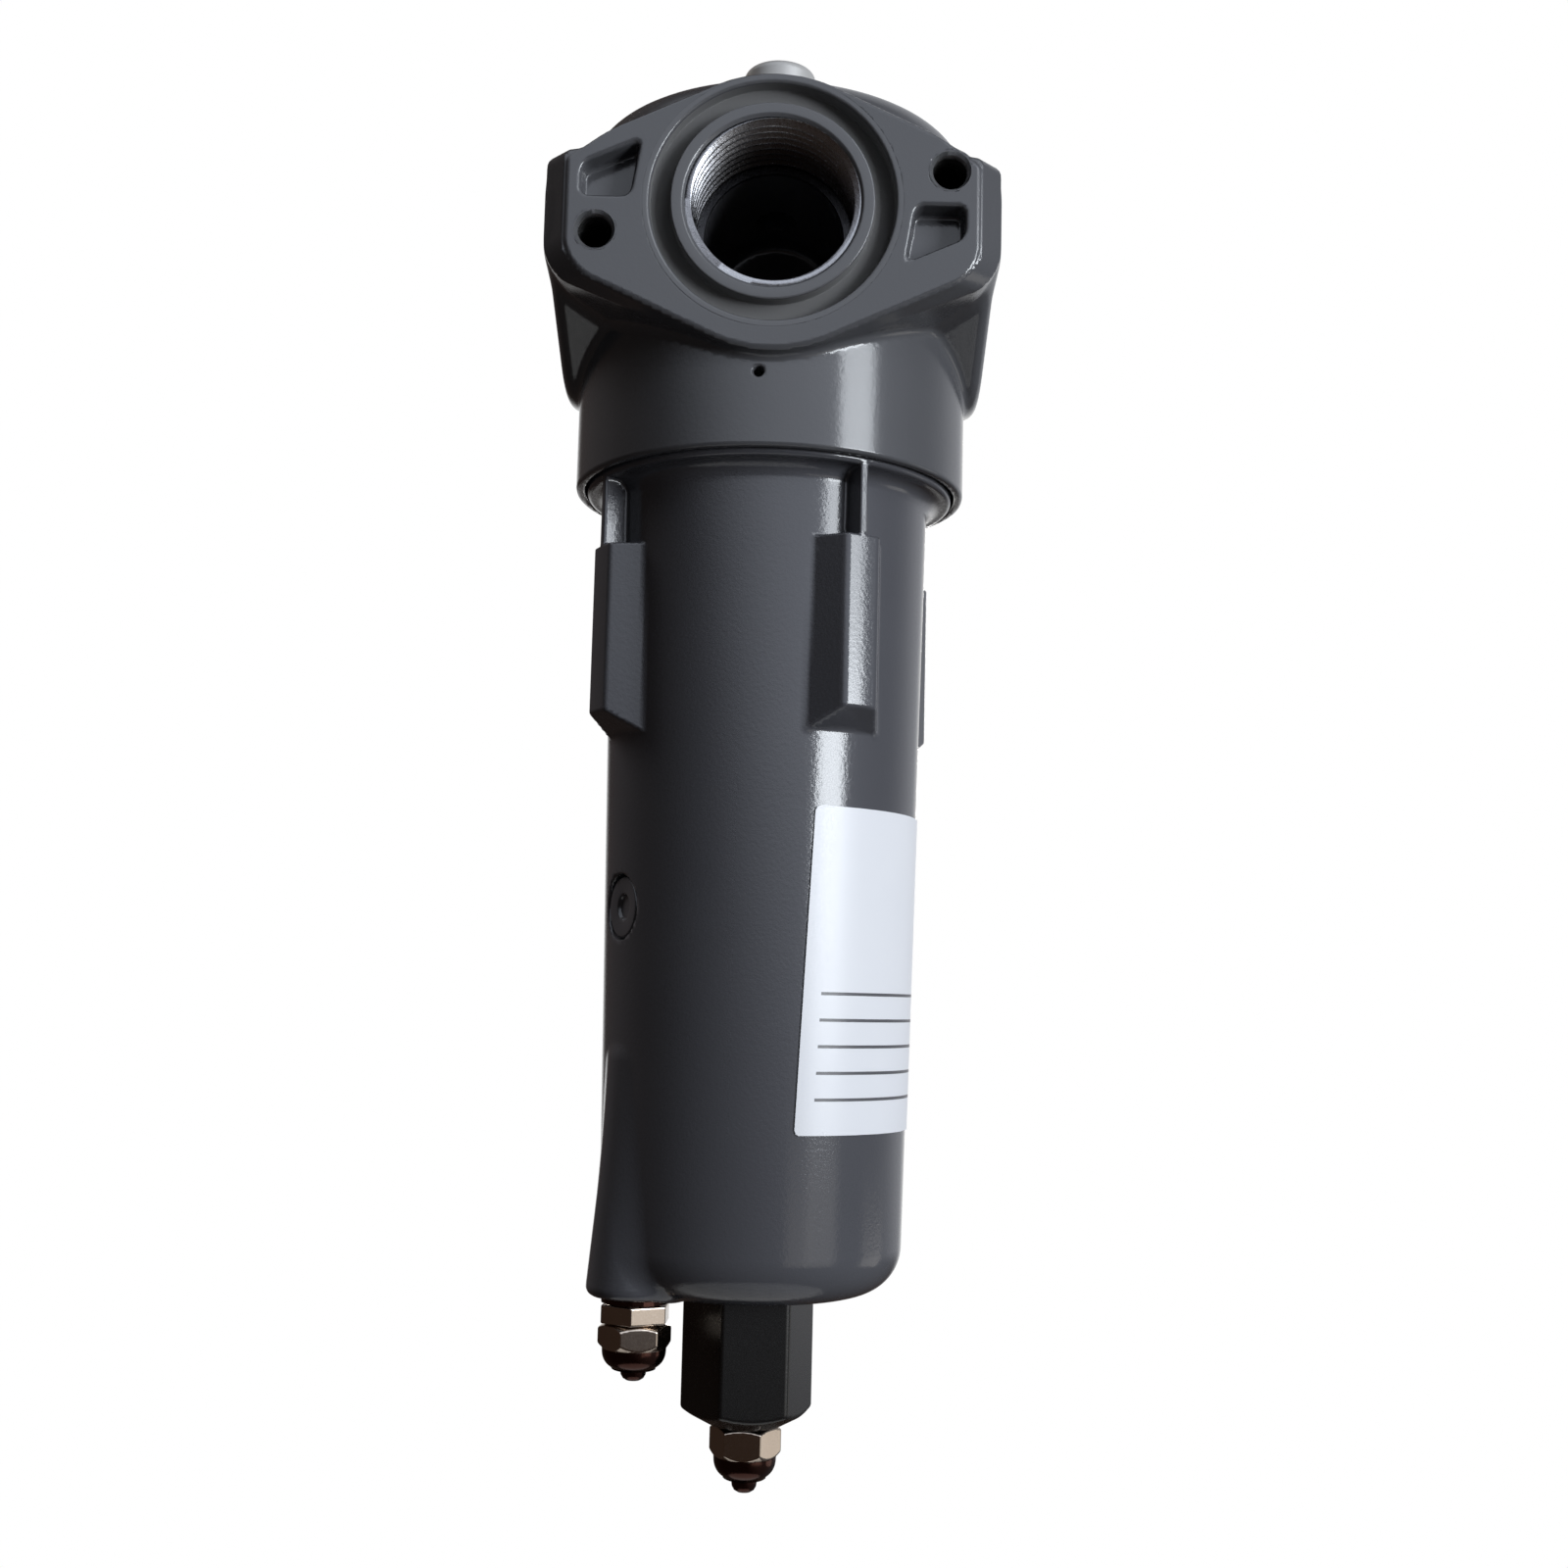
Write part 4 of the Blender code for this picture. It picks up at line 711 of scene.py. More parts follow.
def bowl_rib(along, across, z):
    """One rib, in its own axes along and across a radius: a thin web, and a pad with a sloped foot."""
    web = round_max(np.abs(across) - RIB_WEB / 2, along - RIB_EDGE, RIB_ROUND)
    web = np.maximum(web, np.maximum(RIB_PAD_TOP - MERGE - z, z - WEB_TOP))
    foot = (RIB_PAD_END - z) * RIB_FOOT[0] + (along - RIB_EDGE) * RIB_FOOT[1]
    taper = math.radians(RIB_TAPER)
    side = (np.abs(across) - RIB_PAD / 2) * math.cos(taper) + (along - RIB_EDGE) * math.sin(taper)
    pad = round_max(side, np.hypot(along, across) - RIB_EDGE - PAD_PROUD, FINE_EDGE)
    pad = round_max(pad, round_max(z - RIB_PAD_TOP, foot, RIB_FOOT_ROUND), RIB_ROUND)
    return np.maximum(np.minimum(web, pad), INSIDE - along)


def bowl_field(x, y, z):
    """Distance to the bowl casting in mm, negative inside the metal."""
    radius = np.hypot(x, y)
    wall = radius - BOWL_RADIUS + BOWL_DRAFT * np.maximum(COLLAR_END - z, 0)
    body = round_max(np.maximum(wall, z - BOWL_FLANGE[1]), BOWL_END - z, BOWL_CORNER)
    rim_radius, rim_top, rim_end = BOWL_FLANGE
    middle = (rim_top + rim_end) / 2
    rim = round_max(radius - rim_radius, np.abs(z - middle) - (rim_top - middle), RIM_EDGE)
    metal = round_min(body, rim, RIM_FILLET)
    for reach, top in BOWL_NECK:
        neck = np.maximum(np.maximum(radius - reach, z - top), rim_top - NECK_OVERLAP - z)
        metal = np.minimum(metal, neck)
    for degrees in RIB_ANGLES:
        metal = round_min(metal, bowl_rib(*radial_axes(x, y, degrees), z), RIB_ROUND)
    along, across = radial_axes(x, y, SIDE_ANGLE)
    (offset, reach, low), (tip_offset, tip_reach, tip) = SIDE_BOSS
    share = np.clip((z - low) / (tip - low), *SIDE_RUN)
    boss = np.hypot(along - offset - (tip_offset - offset) * share, across)
    boss = boss - reach - (tip_reach - reach) * share
    boss = round_max(boss, np.maximum(low - z, z - tip - SIDE_RISE), SIDE_EDGE)
    metal = round_min(metal, boss, SIDE_FILLET)
    cavity = round_max(np.maximum(wall + BOWL_WALL, FLOOR_TOP - z), FLOOR_TOP - z, CAVITY_CORNER)
    pad_radius, pad_start, pad_end = PLUG_PAD
    from_plug = np.hypot(across, z - PLUG_LEVEL)
    plug_pad = np.maximum(from_plug - pad_radius, np.maximum(pad_start - along, along - pad_end))
    metal = np.minimum(np.maximum(metal, -cavity), plug_pad)
    metal = round_max(metal, -np.maximum(from_plug - PLUG_HOLE, INSIDE - along), FINE_EDGE)
    metal = np.maximum(metal, DRAIN_HOLE - radius)
    side = np.hypot(along - offset, across) - SIDE_HOLE
    metal = np.maximum(metal, -np.maximum(side, z - SIDE_HOLE_TOP))
    groove = np.maximum(SEAL_GROOVE[0] - radius, np.maximum(z - SEAL_GROOVE[1], SEAL_GROOVE[2] - z))
    return np.maximum(metal, -groove)


def round_formed(name, field, angles, radii, levels, material, body, nodes=()):
    """As formed, for a hollow body round the Z axis: the places are angles, radii and levels."""
    turn, reach, z = np.meshgrid(angles, radii, levels, indexing="ij", sparse=True)
    values = field(reach * np.cos(turn), reach * np.sin(turn), z)
    places, faces = surface_net(np.broadcast_to(values, (len(angles), len(radii), len(levels))), wrap=True)
    turn = np.interp(places[:, 0], np.arange(len(angles) + 1), np.append(angles, angles[0] + 2 * np.pi))
    reach = np.interp(places[:, 1], np.arange(len(radii)), radii)
    z = np.interp(places[:, 2], np.arange(len(levels)), levels)
    points, normals = settle(np.stack([reach * np.cos(turn), reach * np.sin(turn), z], 1), field, BOWL_STEP)
    return new_piece(name, points, faces[:, ::-1], material, body, nodes, normals)


BOWL_COAT = finish("slate_powder_coat_bowl", (0.080, 0.081, 0.092), (0.072, 0.073, 0.084), (0.11, 0.17),
                   (1400.0, 3600.0, 0.35), (0.4, 0.08))
turn_step, turn_finest, turn_spread = np.radians((TURN_STEP, TURN_FINEST, TURN_SPREAD))
bowl_angles = graded(0, 2 * np.pi, turn_step, turn_finest, np.radians(RIB_ANGLES), turn_spread)[:-1]
bowl_radii = graded(*RADIUS_REACH, RADIUS_STEP, BOWL_FINEST, RADIUS_MARKS, RADIUS_SPREAD)
level_marks = (BOWL_END, FLOOR_TOP, PLUG_LEVEL, RIB_PAD_END, RIB_PAD_TOP, *BOWL_FLANGE[1:])
bowl_levels = graded(BOWL_END - MERGE, BOWL_NECK[0][1] + MERGE, BOWL_STEP, BOWL_FINEST, level_marks,
                     BOWL_SPREAD)
round_formed("bowl_casting", bowl_field, bowl_angles, bowl_radii, bowl_levels, BOWL_COAT, "bowl",
             ("bowl",))

# Label
# A white printed film glued to the right of the bowl, set a little skew, with rounded corners.
# It holds plain ruled marks only.
LABEL_TOP = -111.5
LABEL_END = -172.3
LABEL_WIDTH = 50.0
LABEL_LIFT = 0.12
LABEL_THICKNESS = 0.2
LABEL_START = -74.6
LABEL_SKEW = 4.5
LABEL_CORNER = 1.0
RULES = (0.107, 0.427, 5)
RULE_HALF = 0.06
RULE_REACH = 0.43
RULE_TONE = (0.09, 0.09, 0.10)
LABEL_CELLS = 60


def label_grid(columns, rows):
    """Points on the film as grids over its width and height, from -1 to 1 each way.

    Near a corner the square grid is drawn in towards a rounded rectangle: both of its coordinates
    shrink until the distance to the rounded outline is kept.
    """
    u, v = np.meshgrid(np.linspace(-1, 1, columns), np.linspace(-1, 1, rows), indexing="ij")
    half_w, half_h = LABEL_WIDTH / 2, (LABEL_TOP - LABEL_END) / 2
    across, up = u * half_w, v * half_h
    over_w = np.maximum(np.abs(across) - half_w + LABEL_CORNER, 0)
    over_h = np.maximum(np.abs(up) - half_h + LABEL_CORNER, 0)
    largest = np.maximum(over_w, over_h)
    squeeze = np.where(largest > 0, largest / np.maximum(np.hypot(over_w, over_h), 1e-9), 1)
    across -= np.sign(across) * over_w * (1 - squeeze)
    up -= np.sign(up) * over_h * (1 - squeeze)
    return across, up


def label_points(across, up, lift):
    """Wraps flat label coordinates round the bowl wall at a height above it."""
    z = (LABEL_TOP + LABEL_END) / 2 + up
    reach = BOWL_RADIUS - BOWL_DRAFT * (COLLAR_END - z)
    middle = BOWL_RADIUS - BOWL_DRAFT * (COLLAR_END - (LABEL_TOP + LABEL_END) / 2)
    skew = math.radians(LABEL_SKEW) * (z - LABEL_END) / (LABEL_TOP - LABEL_END)
    turn = math.radians(LABEL_START) + (across + LABEL_WIDTH / 2) / middle + skew
    return np.stack([(reach + lift) * np.cos(turn), (reach + lift) * np.sin(turn), z], -1)


def label_film():
    """White film with five plain grey rules in its lower half, drawn on the film's own UV map.

    A rule shows where the height in rule spacings lies near a whole number, between the first and last.
    """
    material = finish("white_label_film", (0.80, 0.81, 0.85), (0.76, 0.77, 0.82), (0.32, 0.42),
                      (700.0, 3000.0, 0.3), (0.1, 0.02))
    tree = material.node_tree
    place = add_node(tree, "SeparateXYZ", {0: add_node(tree, "TexCoord").outputs["UV"]})
    first, last, count = RULES
    steps = add_node(tree, "MapRange", {"Value": place.outputs["Y"], "From Min": first, "From Max": last,
                                        "To Max": count - 1.0}, clamp=False).outputs[0]
    near = math_node(tree, "LESS_THAN", math_node(tree, "PINGPONG", steps, 0.5), RULE_HALF)
    middle = (count - 1) / 2
    inside = math_node(tree, "COMPARE", steps, middle, middle + 0.3)
    ends = math_node(tree, "COMPARE", place.outputs["X"], 0.5, RULE_REACH)
    drawn = math_node(tree, "MULTIPLY", math_node(tree, "MULTIPLY", near, inside), ends)
    overlay(material, drawn, RULE_TONE)
    return material


across, up = label_grid(LABEL_CELLS, LABEL_CELLS)
front = label_points(across, up, LABEL_LIFT + LABEL_THICKNESS).reshape(-1, 3)
back = label_points(across, up, LABEL_LIFT).reshape(-1, 3)
layer = len(front)
index = np.arange(layer).reshape(LABEL_CELLS, LABEL_CELLS)
quads = np.stack([index[:-1, :-1], index[1:, :-1], index[1:, 1:], index[:-1, 1:]], -1).reshape(-1, 4)
border = np.concatenate([index[:, 0], index[-1, 1:], index[-2::-1, -1], index[0, -2:0:-1]])
after = np.roll(border, -1)
sides = np.stack([border, border + layer, after + layer, after], 1)
label = new_piece("bowl_label", np.concatenate([front, back]),
                  np.concatenate([quads, quads[:, ::-1] + layer, sides]), label_film(), "bowl",
                  ("label",))
label.data.set_sharp_from_angle(angle=math.radians(40))
flat = np.stack([across / LABEL_WIDTH + 0.5, up / (LABEL_TOP - LABEL_END) + 0.5], -1).reshape(-1, 2)
corner_points = np.empty(len(label.data.loops), np.int32)
label.data.loops.foreach_get("vertex_index", corner_points)
film_map = label.data.uv_layers.new(name="film")
film_map.uv.foreach_set("vector", flat[corner_points % layer].ravel())

# Side plug
# A flush screw plug in the bowl wall above the side connection, coated like the bowl.
# A dark ring of clearance shows round it, and shallow turned rings on its face.
SIDE_PLUG_SINK = 0.75
SIDE_PLUG_OUTLINE = ((AXIS, 0.9, 0), (2.2, 0.9, 0.2), (2.6, 0.2, 0.3), (5.9, 0.0, 0.5), (5.95, 6.0, 0.3),
                     (AXIS, 6.0, 0))
SIDE_PLUG_SIDES = 64

plug_face = BOWL_RADIUS - BOWL_DRAFT * (COLLAR_END - PLUG_LEVEL) - SIDE_PLUG_SINK
disc = rounded([(radius, plug_face - depth, size) for radius, depth, size in SIDE_PLUG_OUTLINE])
where = Matrix.Translation((0, 0, PLUG_LEVEL)) @ Matrix.Rotation(math.radians(SIDE_ANGLE), 4, "Z")
where = where @ Matrix.Rotation(math.radians(90), 4, "Y")
turned("side_screw_plug", *ring_grid(disc, SIDE_PLUG_SIDES), where, BOWL_COAT, "bowl", "powder_coat",
       ("side_plug",))

# Drain body
# The float drain's hexagon under the bowl, moulded in black glass-filled nylon, with a cone at its
# lower end and a stem that passes through the bowl's floor to a locknut inside.
HEX_TOP = -204.3
HEX_END = -229.7
HEX_HALF = 11.25
HEX_TURN = 8.6
HEX_NOSE = 7.0
HEX_SHOULDER = -226.5
HEX_EDGE = 0.4
STEM_RADIUS = 8.0
STEM_TOP = -187.0
DRAIN_BORE = 2.0
NIPPLE_HOLE = (4.5, 10.3)
SEAT_HOLE = (4.0, 3.7)
DRAIN_REACH = 13.5
DRAIN_STEP = 0.4


def drain_field(x, y, z):
    """Hexagon with a coned lower end and a stem, bored through."""
    radius = np.hypot(x, y)
    corner = HEX_HALF / math.cos(math.pi / 6)
    slope = (HEX_SHOULDER - HEX_END) / (corner - HEX_NOSE)
    cone = (HEX_END + slope * (radius - HEX_NOSE) - z) / math.hypot(1, slope)
    body = round_max(hexagon(x, y, HEX_HALF, HEX_TURN, FINE_EDGE), z - HEX_TOP, HEX_EDGE)
    body = round_max(body, np.maximum(cone, HEX_END - z), FINE_EDGE)
    stem = np.maximum(radius - STEM_RADIUS, np.maximum(z - STEM_TOP, HEX_TOP - MERGE - z))
    bore = np.maximum(radius - DRAIN_BORE, HEX_END - z)
    nipple = np.maximum(radius - NIPPLE_HOLE[0], z - HEX_END - NIPPLE_HOLE[1])
    seat = np.maximum(radius - SEAT_HOLE[0], STEM_TOP - SEAT_HOLE[1] - z)
    return np.maximum(np.minimum(body, stem), -np.minimum(np.minimum(bore, nipple), seat))


NYLON = finish("black_nylon", (0.006, 0.006, 0.006), (0.004, 0.004, 0.004), (0.20, 0.30),
               (1600.0, 6000.0, 0.5), (0.2, 0.03))
drain_axes = grid_round(DRAIN_REACH, HEX_END - MERGE, STEM_TOP + MERGE, DRAIN_STEP)
formed("drain_hexagon", drain_field, drain_axes, NYLON, "bowl", ("drain_body",))

# Tube fittings
# Compression fittings of nickel-plated brass, one under the drain and one under the side boss: a
# hexagon union nut with a domed end, and a short blanking stub that it clamps.
NUT_HALF = 6.1
NUT_BORE = 3.9
STUB_RADIUS = 2.5
STUB_HOLE = 2.8
STUB_NOSE = 2.1
STUB_SIDES = 48
OLIVE_RADIUS = 3.6
OLIVE_HEIGHT = 1.9
OLIVE_ROUND = 0.3
NOSE_POWER = 2.6
LOWER_BEVEL = 0.71
UPPER_BEVEL = (0.5, 0.87)
NUT_CORNER = 0.15
NUT_EDGE = 0.2
NUT_REACH = 7.6
NUT_STEP = 0.22
NUT_MARGIN = 0.6
SIDE_X = SIDE_BOSS[0][0] * math.cos(math.radians(SIDE_ANGLE))
SIDE_Y = SIDE_BOSS[0][0] * math.sin(math.radians(SIDE_ANGLE))


def nut_field(top, low, end, turn, bore_end):
    """Union nut: a hexagon between two levels, bevelled at both, that runs down into a bullet nose.

    The nose's radius is the nut's, times the 2.6th root of one less its share of depth to the power 2.6.
    """
    def field(x, y, z):
        radius = np.hypot(x, y)
        share = np.clip((low - z) / (low - end), 0, 1)
        nose = NUT_HALF * (1 - share ** NOSE_POWER) ** (1 / NOSE_POWER)
        dome = np.where(z > low, (radius - NUT_HALF - z + low) * LOWER_BEVEL, radius - nose)
        bevel = (radius - NUT_HALF) * UPPER_BEVEL[0] + (z - top) * UPPER_BEVEL[1]
        nut = round_max(hexagon(x, y, NUT_HALF, turn, NUT_CORNER), bevel, NUT_EDGE)
        nut = round_max(round_max(nut, dome, NUT_EDGE), end - z, OLIVE_ROUND)
        bore = np.maximum(radius - NUT_BORE, bore_end - z)
        return np.maximum(nut, -np.minimum(bore, radius - STUB_HOLE))
    return field


def moved(field, dx, dy):
    """The same shape with its axis elsewhere on plan."""
    return lambda x, y, z: field(x - dx, y - dy, z)


NICKEL = finish("nickel_plated_brass", (0.56, 0.49, 0.42), (0.42, 0.35, 0.29), (0.10, 0.20),
                (900.0, 5000.0, 0.3), (0.15, 0.02), metallic=1.0)
# Painted reflection and shade: a dark brown copy of the nickel that stands in for the dark surroundings
# mirrored in the domes and stubs.
NICKEL_PAINTED_DARK = finish("nickel_painted_dark_reflection", (0.080, 0.038, 0.030), (0.055, 0.025, 0.020), (0.12, 0.24),
                 (900.0, 5000.0, 0.3), (0.15, 0.02), metallic=1.0)

# Each union: its place on plan, the nut's top, foot and end, the stub's tip, the nut's turn and bore end.
unions = (("outlet", 0.0, 0.0, -230.0, -235.6, -240.3, -242.6, -4.0, -236.85),
          ("side", SIDE_X, SIDE_Y, -209.3, -213.5, -217.9, -219.7, 12.0, -214.75))
for name, dx, dy, top, low, end, tip, turn, bore_end in unions:
    nut_axes = grid_round(NUT_REACH, end - NUT_MARGIN, top + NUT_MARGIN, NUT_STEP, dx, dy)
    nut = formed(f"{name}_union_nut", moved(nut_field(top, low, end, turn, bore_end), dx, dy), nut_axes,
                 NICKEL, f"{name}_nut", (f"{name}_nut",))
    # Painted reflection: the domed end below the hexagon takes the dark brown nickel.
    paint_faces(nut, NICKEL_PAINTED_DARK, lambda middle: middle[:, 2] < low - 0.05)
    olive = bore_end + OLIVE_ROUND
    stub = rounded(((AXIS, olive + OLIVE_HEIGHT, 0), (OLIVE_RADIUS, olive + OLIVE_HEIGHT, OLIVE_ROUND),
                    (OLIVE_RADIUS, olive, OLIVE_ROUND), (STUB_RADIUS, olive, 0),
                    (STUB_RADIUS, tip, STUB_NOSE), (AXIS, tip, 0)))
    # Painted reflection: the blanking stub takes the dark brown nickel as well.
    turned(f"{name}_blanking_stub", *ring_grid(stub, STUB_SIDES), Matrix.Translation((dx, dy, 0)), NICKEL_PAINTED_DARK,
           f"{name}_stub", "plated_brass", (f"{name}_stub",))

FITTING_TURN = 28.0
FITTING_MIDDLE = -207.1
FITTING_HALF = 1.7
FITTING_EDGE = 0.25
FITTING_JOIN = -206.0
FITTING_STUD = (4.6, -196.5)
FITTING_THREAD = (3.6, -212.55)
FITTING_BORE = 1.5
FITTING_SPAN = (-213.5, -195.5)
FITTING_STEP = 0.25


def side_fitting_field(x, y, z):
    """Hexagon screwed into the side boss, with a stud above it and a threaded end below."""
    radius = np.hypot(x, y)
    body = round_max(hexagon(x, y, NUT_HALF, FITTING_TURN, NUT_CORNER),
                     np.abs(z - FITTING_MIDDLE) - FITTING_HALF, FITTING_EDGE)
    stud = np.maximum(radius - FITTING_STUD[0], np.maximum(z - FITTING_STUD[1], FITTING_JOIN - z))
    thread = np.maximum(radius - FITTING_THREAD[0], np.maximum(z - FITTING_JOIN, FITTING_THREAD[1] - z))
    return np.maximum(np.minimum(np.minimum(body, stud), thread), FITTING_BORE - radius)


fitting_axes = grid_round(NUT_REACH, *FITTING_SPAN, FITTING_STEP, SIDE_X, SIDE_Y)
formed("side_hexagon_fitting", moved(side_fitting_field, SIDE_X, SIDE_Y), fitting_axes, NICKEL, "bowl",
       ("side_fitting",))

# Inner pieces
# The push-fit element, the float drain's works and the seals: moulded, turned, pressed or wound pieces that
# the head and bowl hide. They keep their solids, each with its own finish.
RUBBER = finish("black_nitrile", (0.016, 0.016, 0.016), (0.010, 0.010, 0.010), (0.55, 0.75),
                (1500.0, 6000.0, 0.5), (0.2, 0.03))
STAINLESS = finish("stainless", (0.62, 0.62, 0.60), (0.52, 0.52, 0.51), (0.25, 0.40), (1200.0, 6000.0, 0.5),
                   (0.2, 0.03), metallic=1.0)
MEDIA = finish("pleated_glass_fibre", (0.84, 0.82, 0.75), (0.76, 0.74, 0.66), (0.85, 0.95),
               (800.0, 3000.0, 0.5), (0.5, 0.15))
FOAM = finish("drain_foam", (0.12, 0.25, 0.47), (0.08, 0.18, 0.36), (0.90, 1.0), (900.0, 2500.0, 0.4),
              (0.9, 0.4))
ACETAL = finish("white_acetal", (0.77, 0.77, 0.75), (0.72, 0.72, 0.70), (0.40, 0.50), (900.0, 4000.0, 0.4),
                (0.1, 0.03))
BRASS = finish("turned_brass", (0.80, 0.59, 0.26), (0.68, 0.48, 0.20), (0.22, 0.36), (900.0, 5000.0, 0.4),
               (0.2, 0.03), metallic=1.0)
inner_finishes = {
    RUBBER: ("gauge_plug_seal", "element_seal_upper", "element_seal_lower", "bowl_seal", "drain_washer"),
    NYLON: ("element_top_cap", "element_bottom_cap", "drain_locknut", "float"),
    STAINLESS: ("element_inner_core", "element_outer_core", "float_pin", "valve_needle"),
    MEDIA: ("element_media",),
    FOAM: ("element_drain_sleeve",),
    ACETAL: ("float_guide", "guide_cap"),
    BRASS: ("valve_seat",),
    NICKEL: ("outlet_nipple",),
    # Painted shade: the side washer takes the dark brown nickel, as it lies in shadow under the boss.
    NICKEL_PAINTED_DARK: ("side_washer",),
}
for material, nodes in inner_finishes.items():
    for node in nodes:
        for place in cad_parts[node].material_slots:
            place.material = material

# Studio
# Two stacked lamps like a window at the right, a high lamp, low panels, and lamps behind and at the left.
# The coat mirrors a pale patch of sky in front, the background is white, and the pale floor lies far below.
KEY_TURN = 51.0
LAMP_DISTANCE = 1.2
HIGH_LAMP = 0.3
HIGH_AIM = -0.1
COOL = (0.90, 0.95, 1.0)
WARM = (1.0, 0.95, 0.88)
FLOOR_LEVEL = -1.2
FLOOR_RADIUS = 0.6
FLOOR_FADE = (0.10, 0.58)
FLOOR_SIDES = 96
FLOOR_BOUNCE = (0.08, 0.08, 0.08, 1)
WHITE = (1, 1, 1, 1)
BEHIND_TURN = (0.50, 0.20)
BEHIND_LOW = (-0.30, -0.12)
BEHIND_HIGH = (0.46, 0.28)
PATCH_LEFT = (-0.57, 0.73)
PATCH_LEAN = 2.0
PATCH_RIGHT = (1.75, 0.50)
PATCH_HEIGHT = (-0.25, 0.25)
PATCH_COLOUR = (1.22, 1.30, 1.46, 1)
ROOM_EAST = (0.1, 1.0)
ROOM_LEFT = (0.040, 0.026, 0.020, 1)
ROOM_RIGHT = (0.16, 0.165, 0.175, 1)
WALL_TURN = (1.75, 2.4)
WALL_HEIGHT = (-0.30, -0.08)
WALL_COLOUR = (0.58, 0.59, 0.62, 1)
DIM_COLOUR = (0.95, 0.97, 1.0, 1)
DIM_STRENGTH = 0.05


def mix_shaders(tree, factor, first, second):
    """Shader that goes from the first to the second as a factor goes from 0 to 1."""
    return add_node(tree, "MixShader", {0: factor, 1: first, 2: second}).outputs[0]


def pale_floor():
    """Pale matt floor that takes shadows, throws little light back up, and fades to white at its rim."""
    material = finish("pale_floor", (0.80, 0.80, 0.80), (0.78, 0.78, 0.78), (0.8, 0.9), (20.0, 90.0, 0.5),
                      (0.02, 0.1))
    tree = material.node_tree
    path = add_node(tree, "LightPath")
    dark = add_node(tree, "BsdfDiffuse", {"Color": FLOOR_BOUNCE})
    shown = mix_shaders(tree, path.outputs["Is Diffuse Ray"], tree.nodes["Principled BSDF"].outputs[0],
                        dark.outputs[0])
    flat = add_node(tree, "VectorMath", {0: add_node(tree, "TexCoord").outputs["Object"], 1: (1, 1, 0)},
                    operation="MULTIPLY")
    reach = add_node(tree, "VectorMath", {0: flat.outputs["Vector"]}, operation="LENGTH")
    faded = smooth_step(tree, reach.outputs["Value"], *FLOOR_FADE)
    faded = math_node(tree, "MULTIPLY", faded, path.outputs["Is Camera Ray"])
    white = add_node(tree, "Emission", {"Color": WHITE, "Strength": 1.0})
    shown = mix_shaders(tree, faded, shown, white.outputs[0])
    tree.links.new(shown, tree.nodes["Material Output"].inputs["Surface"])
    return material


floor_mesh = bpy.data.meshes.new("floor")
turn = np.linspace(0, 2 * np.pi, FLOOR_SIDES, endpoint=False)
rim = np.stack([FLOOR_RADIUS * np.cos(turn), FLOOR_RADIUS * np.sin(turn), 0 * turn + FLOOR_LEVEL], 1)
floor_mesh.from_pydata(rim.tolist(), [], [list(range(FLOOR_SIDES))])
floor_mesh.materials.append(pale_floor())
floor = bpy.data.objects.new("floor", floor_mesh)
bpy.context.scene.collection.objects.link(floor)


def lamp(name, turn, level, size, power, colour, mirrored=True):
    """A soft rectangular lamp, at an angle round from the camera's side, that faces the filter."""
    light = bpy.data.lights.new(name, "AREA")
    light.shape = "RECTANGLE"
    light.size, light.size_y = size
    light.energy = power
    light.color = colour
    holder = bpy.data.objects.new(name, light)
    turn = math.radians(turn)
    holder.location = (LAMP_DISTANCE * math.sin(turn), -LAMP_DISTANCE * math.cos(turn), level)
    aim = Vector((0, 0, HIGH_AIM if level > HIGH_LAMP else level))
    holder.rotation_euler = (aim - holder.location).to_track_quat("-Z", "Y").to_euler()
    holder.visible_glossy = mirrored
    bpy.context.scene.collection.objects.link(holder)


lamp("key_lower", KEY_TURN, -0.04, (0.44, 0.32), 8.4, COOL)
lamp("key_upper", KEY_TURN, 0.30, (0.44, 0.36), 4.8, COOL)
lamp("key_high", 35, 0.80, (0.60, 0.50), 3.0, COOL)
lamp("low_panel", 55, -0.46, (0.50, 0.34), 0.40, WARM)
lamp("low_front_panel", 36, -0.48, (0.40, 0.30), 0.22, (1.0, 0.93, 0.84))
lamp("low_side_panel", 105, -0.52, (0.50, 0.30), 0.42, WARM)
lamp("rear_strip", 180, 0.12, (0.34, 0.44), 8.0, (1.0, 0.98, 0.95))
lamp("rear_fill", 180, 0.90, (0.8, 0.6), 8.0, (1.0, 1.0, 1.0), mirrored=False)
lamp("left_fill", 238, 0.90, (0.8, 0.8), 18.0, (1.0, 0.96, 0.92), mirrored=False)


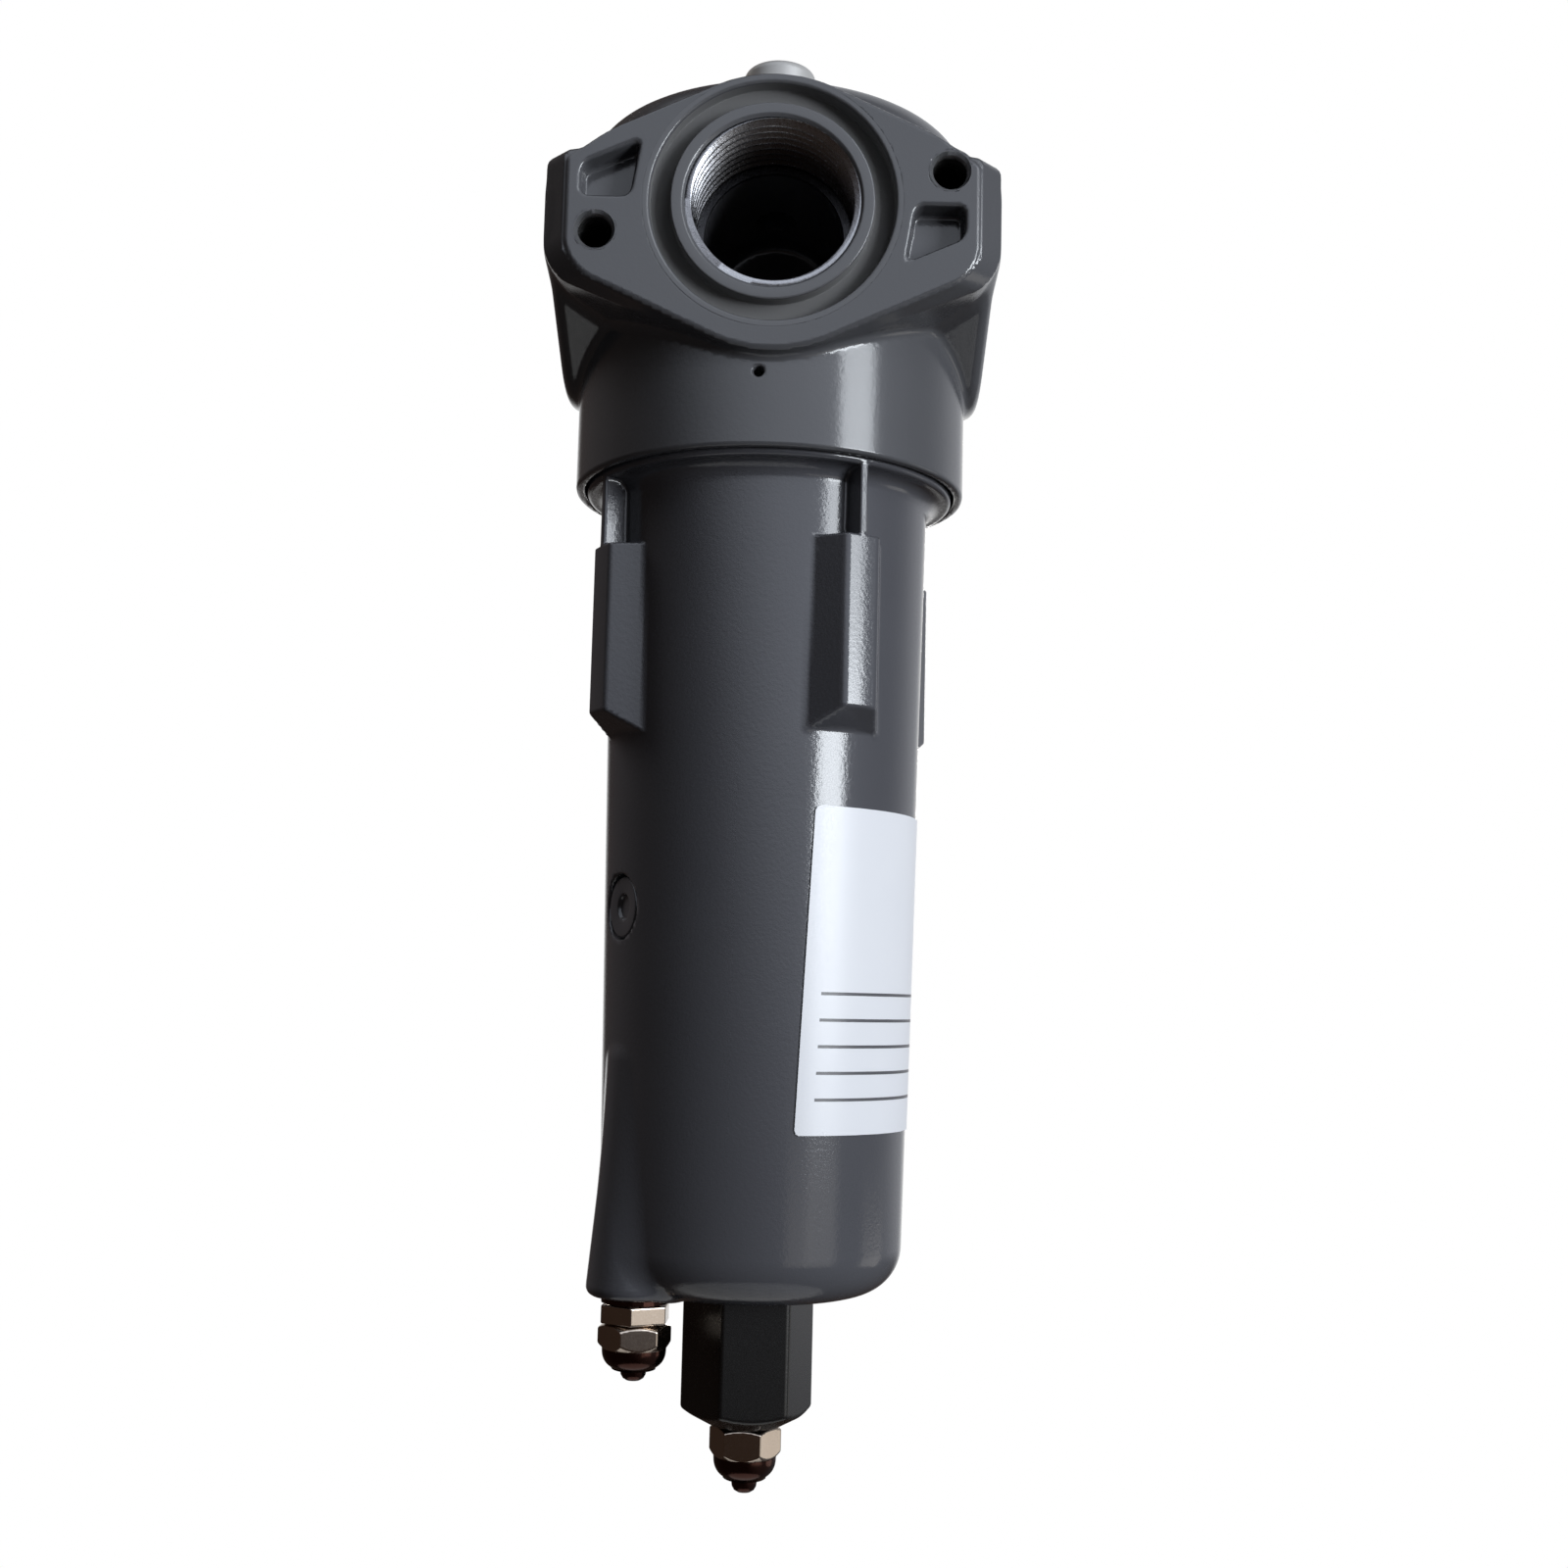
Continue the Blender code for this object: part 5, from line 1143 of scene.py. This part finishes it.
def studio_sky():
    """A sky for mirrors: white behind, a soft pale patch in front and above, dim elsewhere.

    Each part is a product of smooth steps: by the angle round from the back or from the front, where the
    right is positive, and by the height of the direction. The camera sees plain white.
    """
    world = bpy.data.worlds.new("studio")
    world.use_nodes = True
    tree = world.node_tree

    def product(first, second):
        return math_node(tree, "MULTIPLY", first, second)

    def step(value, limits):
        return smooth_step(tree, value, *limits)

    way = add_node(tree, "SeparateXYZ", {0: add_node(tree, "TexCoord").outputs["Generated"]})
    east, north, up = way.outputs
    from_back = math_node(tree, "ARCTAN2", math_node(tree, "ABSOLUTE", east), north)
    from_front = math_node(tree, "ARCTAN2", east, product(north, -1.0))
    leaned = math_node(tree, "MULTIPLY_ADD", up, PATCH_LEAN, from_front)
    patch = product(step(leaned, PATCH_LEFT), step(from_front, PATCH_RIGHT))
    patch = product(patch, step(up, PATCH_HEIGHT))
    behind = product(step(from_back, BEHIND_TURN), product(step(up, BEHIND_LOW), step(up, BEHIND_HIGH)))
    room = mix_tones(tree, step(east, ROOM_EAST), ROOM_LEFT, ROOM_RIGHT)
    wall = product(step(from_front, WALL_TURN), step(up, WALL_HEIGHT))
    room = mix_tones(tree, wall, room, WALL_COLOUR)
    sky = mix_tones(tree, behind, mix_tones(tree, patch, room, PATCH_COLOUR), WHITE)
    path = add_node(tree, "LightPath").outputs
    mirrored = math_node(tree, "MAXIMUM", path["Is Glossy Ray"], path["Is Transmission Ray"])
    dim = tree.nodes["Background"]
    dim.inputs["Color"].default_value = DIM_COLOUR
    dim.inputs["Strength"].default_value = DIM_STRENGTH
    shown = add_node(tree, "Background", {"Color": sky, "Strength": 1.0})
    white = add_node(tree, "Background", {"Color": WHITE, "Strength": 1.0})
    mix = mix_shaders(tree, mirrored, dim.outputs[0], shown.outputs[0])
    mix = mix_shaders(tree, path["Is Camera Ray"], mix, white.outputs[0])
    tree.links.new(mix, tree.nodes["World Output"].inputs["Surface"])
    return world


bpy.context.scene.world = studio_sky()
bpy.context.scene.view_settings.view_transform = "Standard"
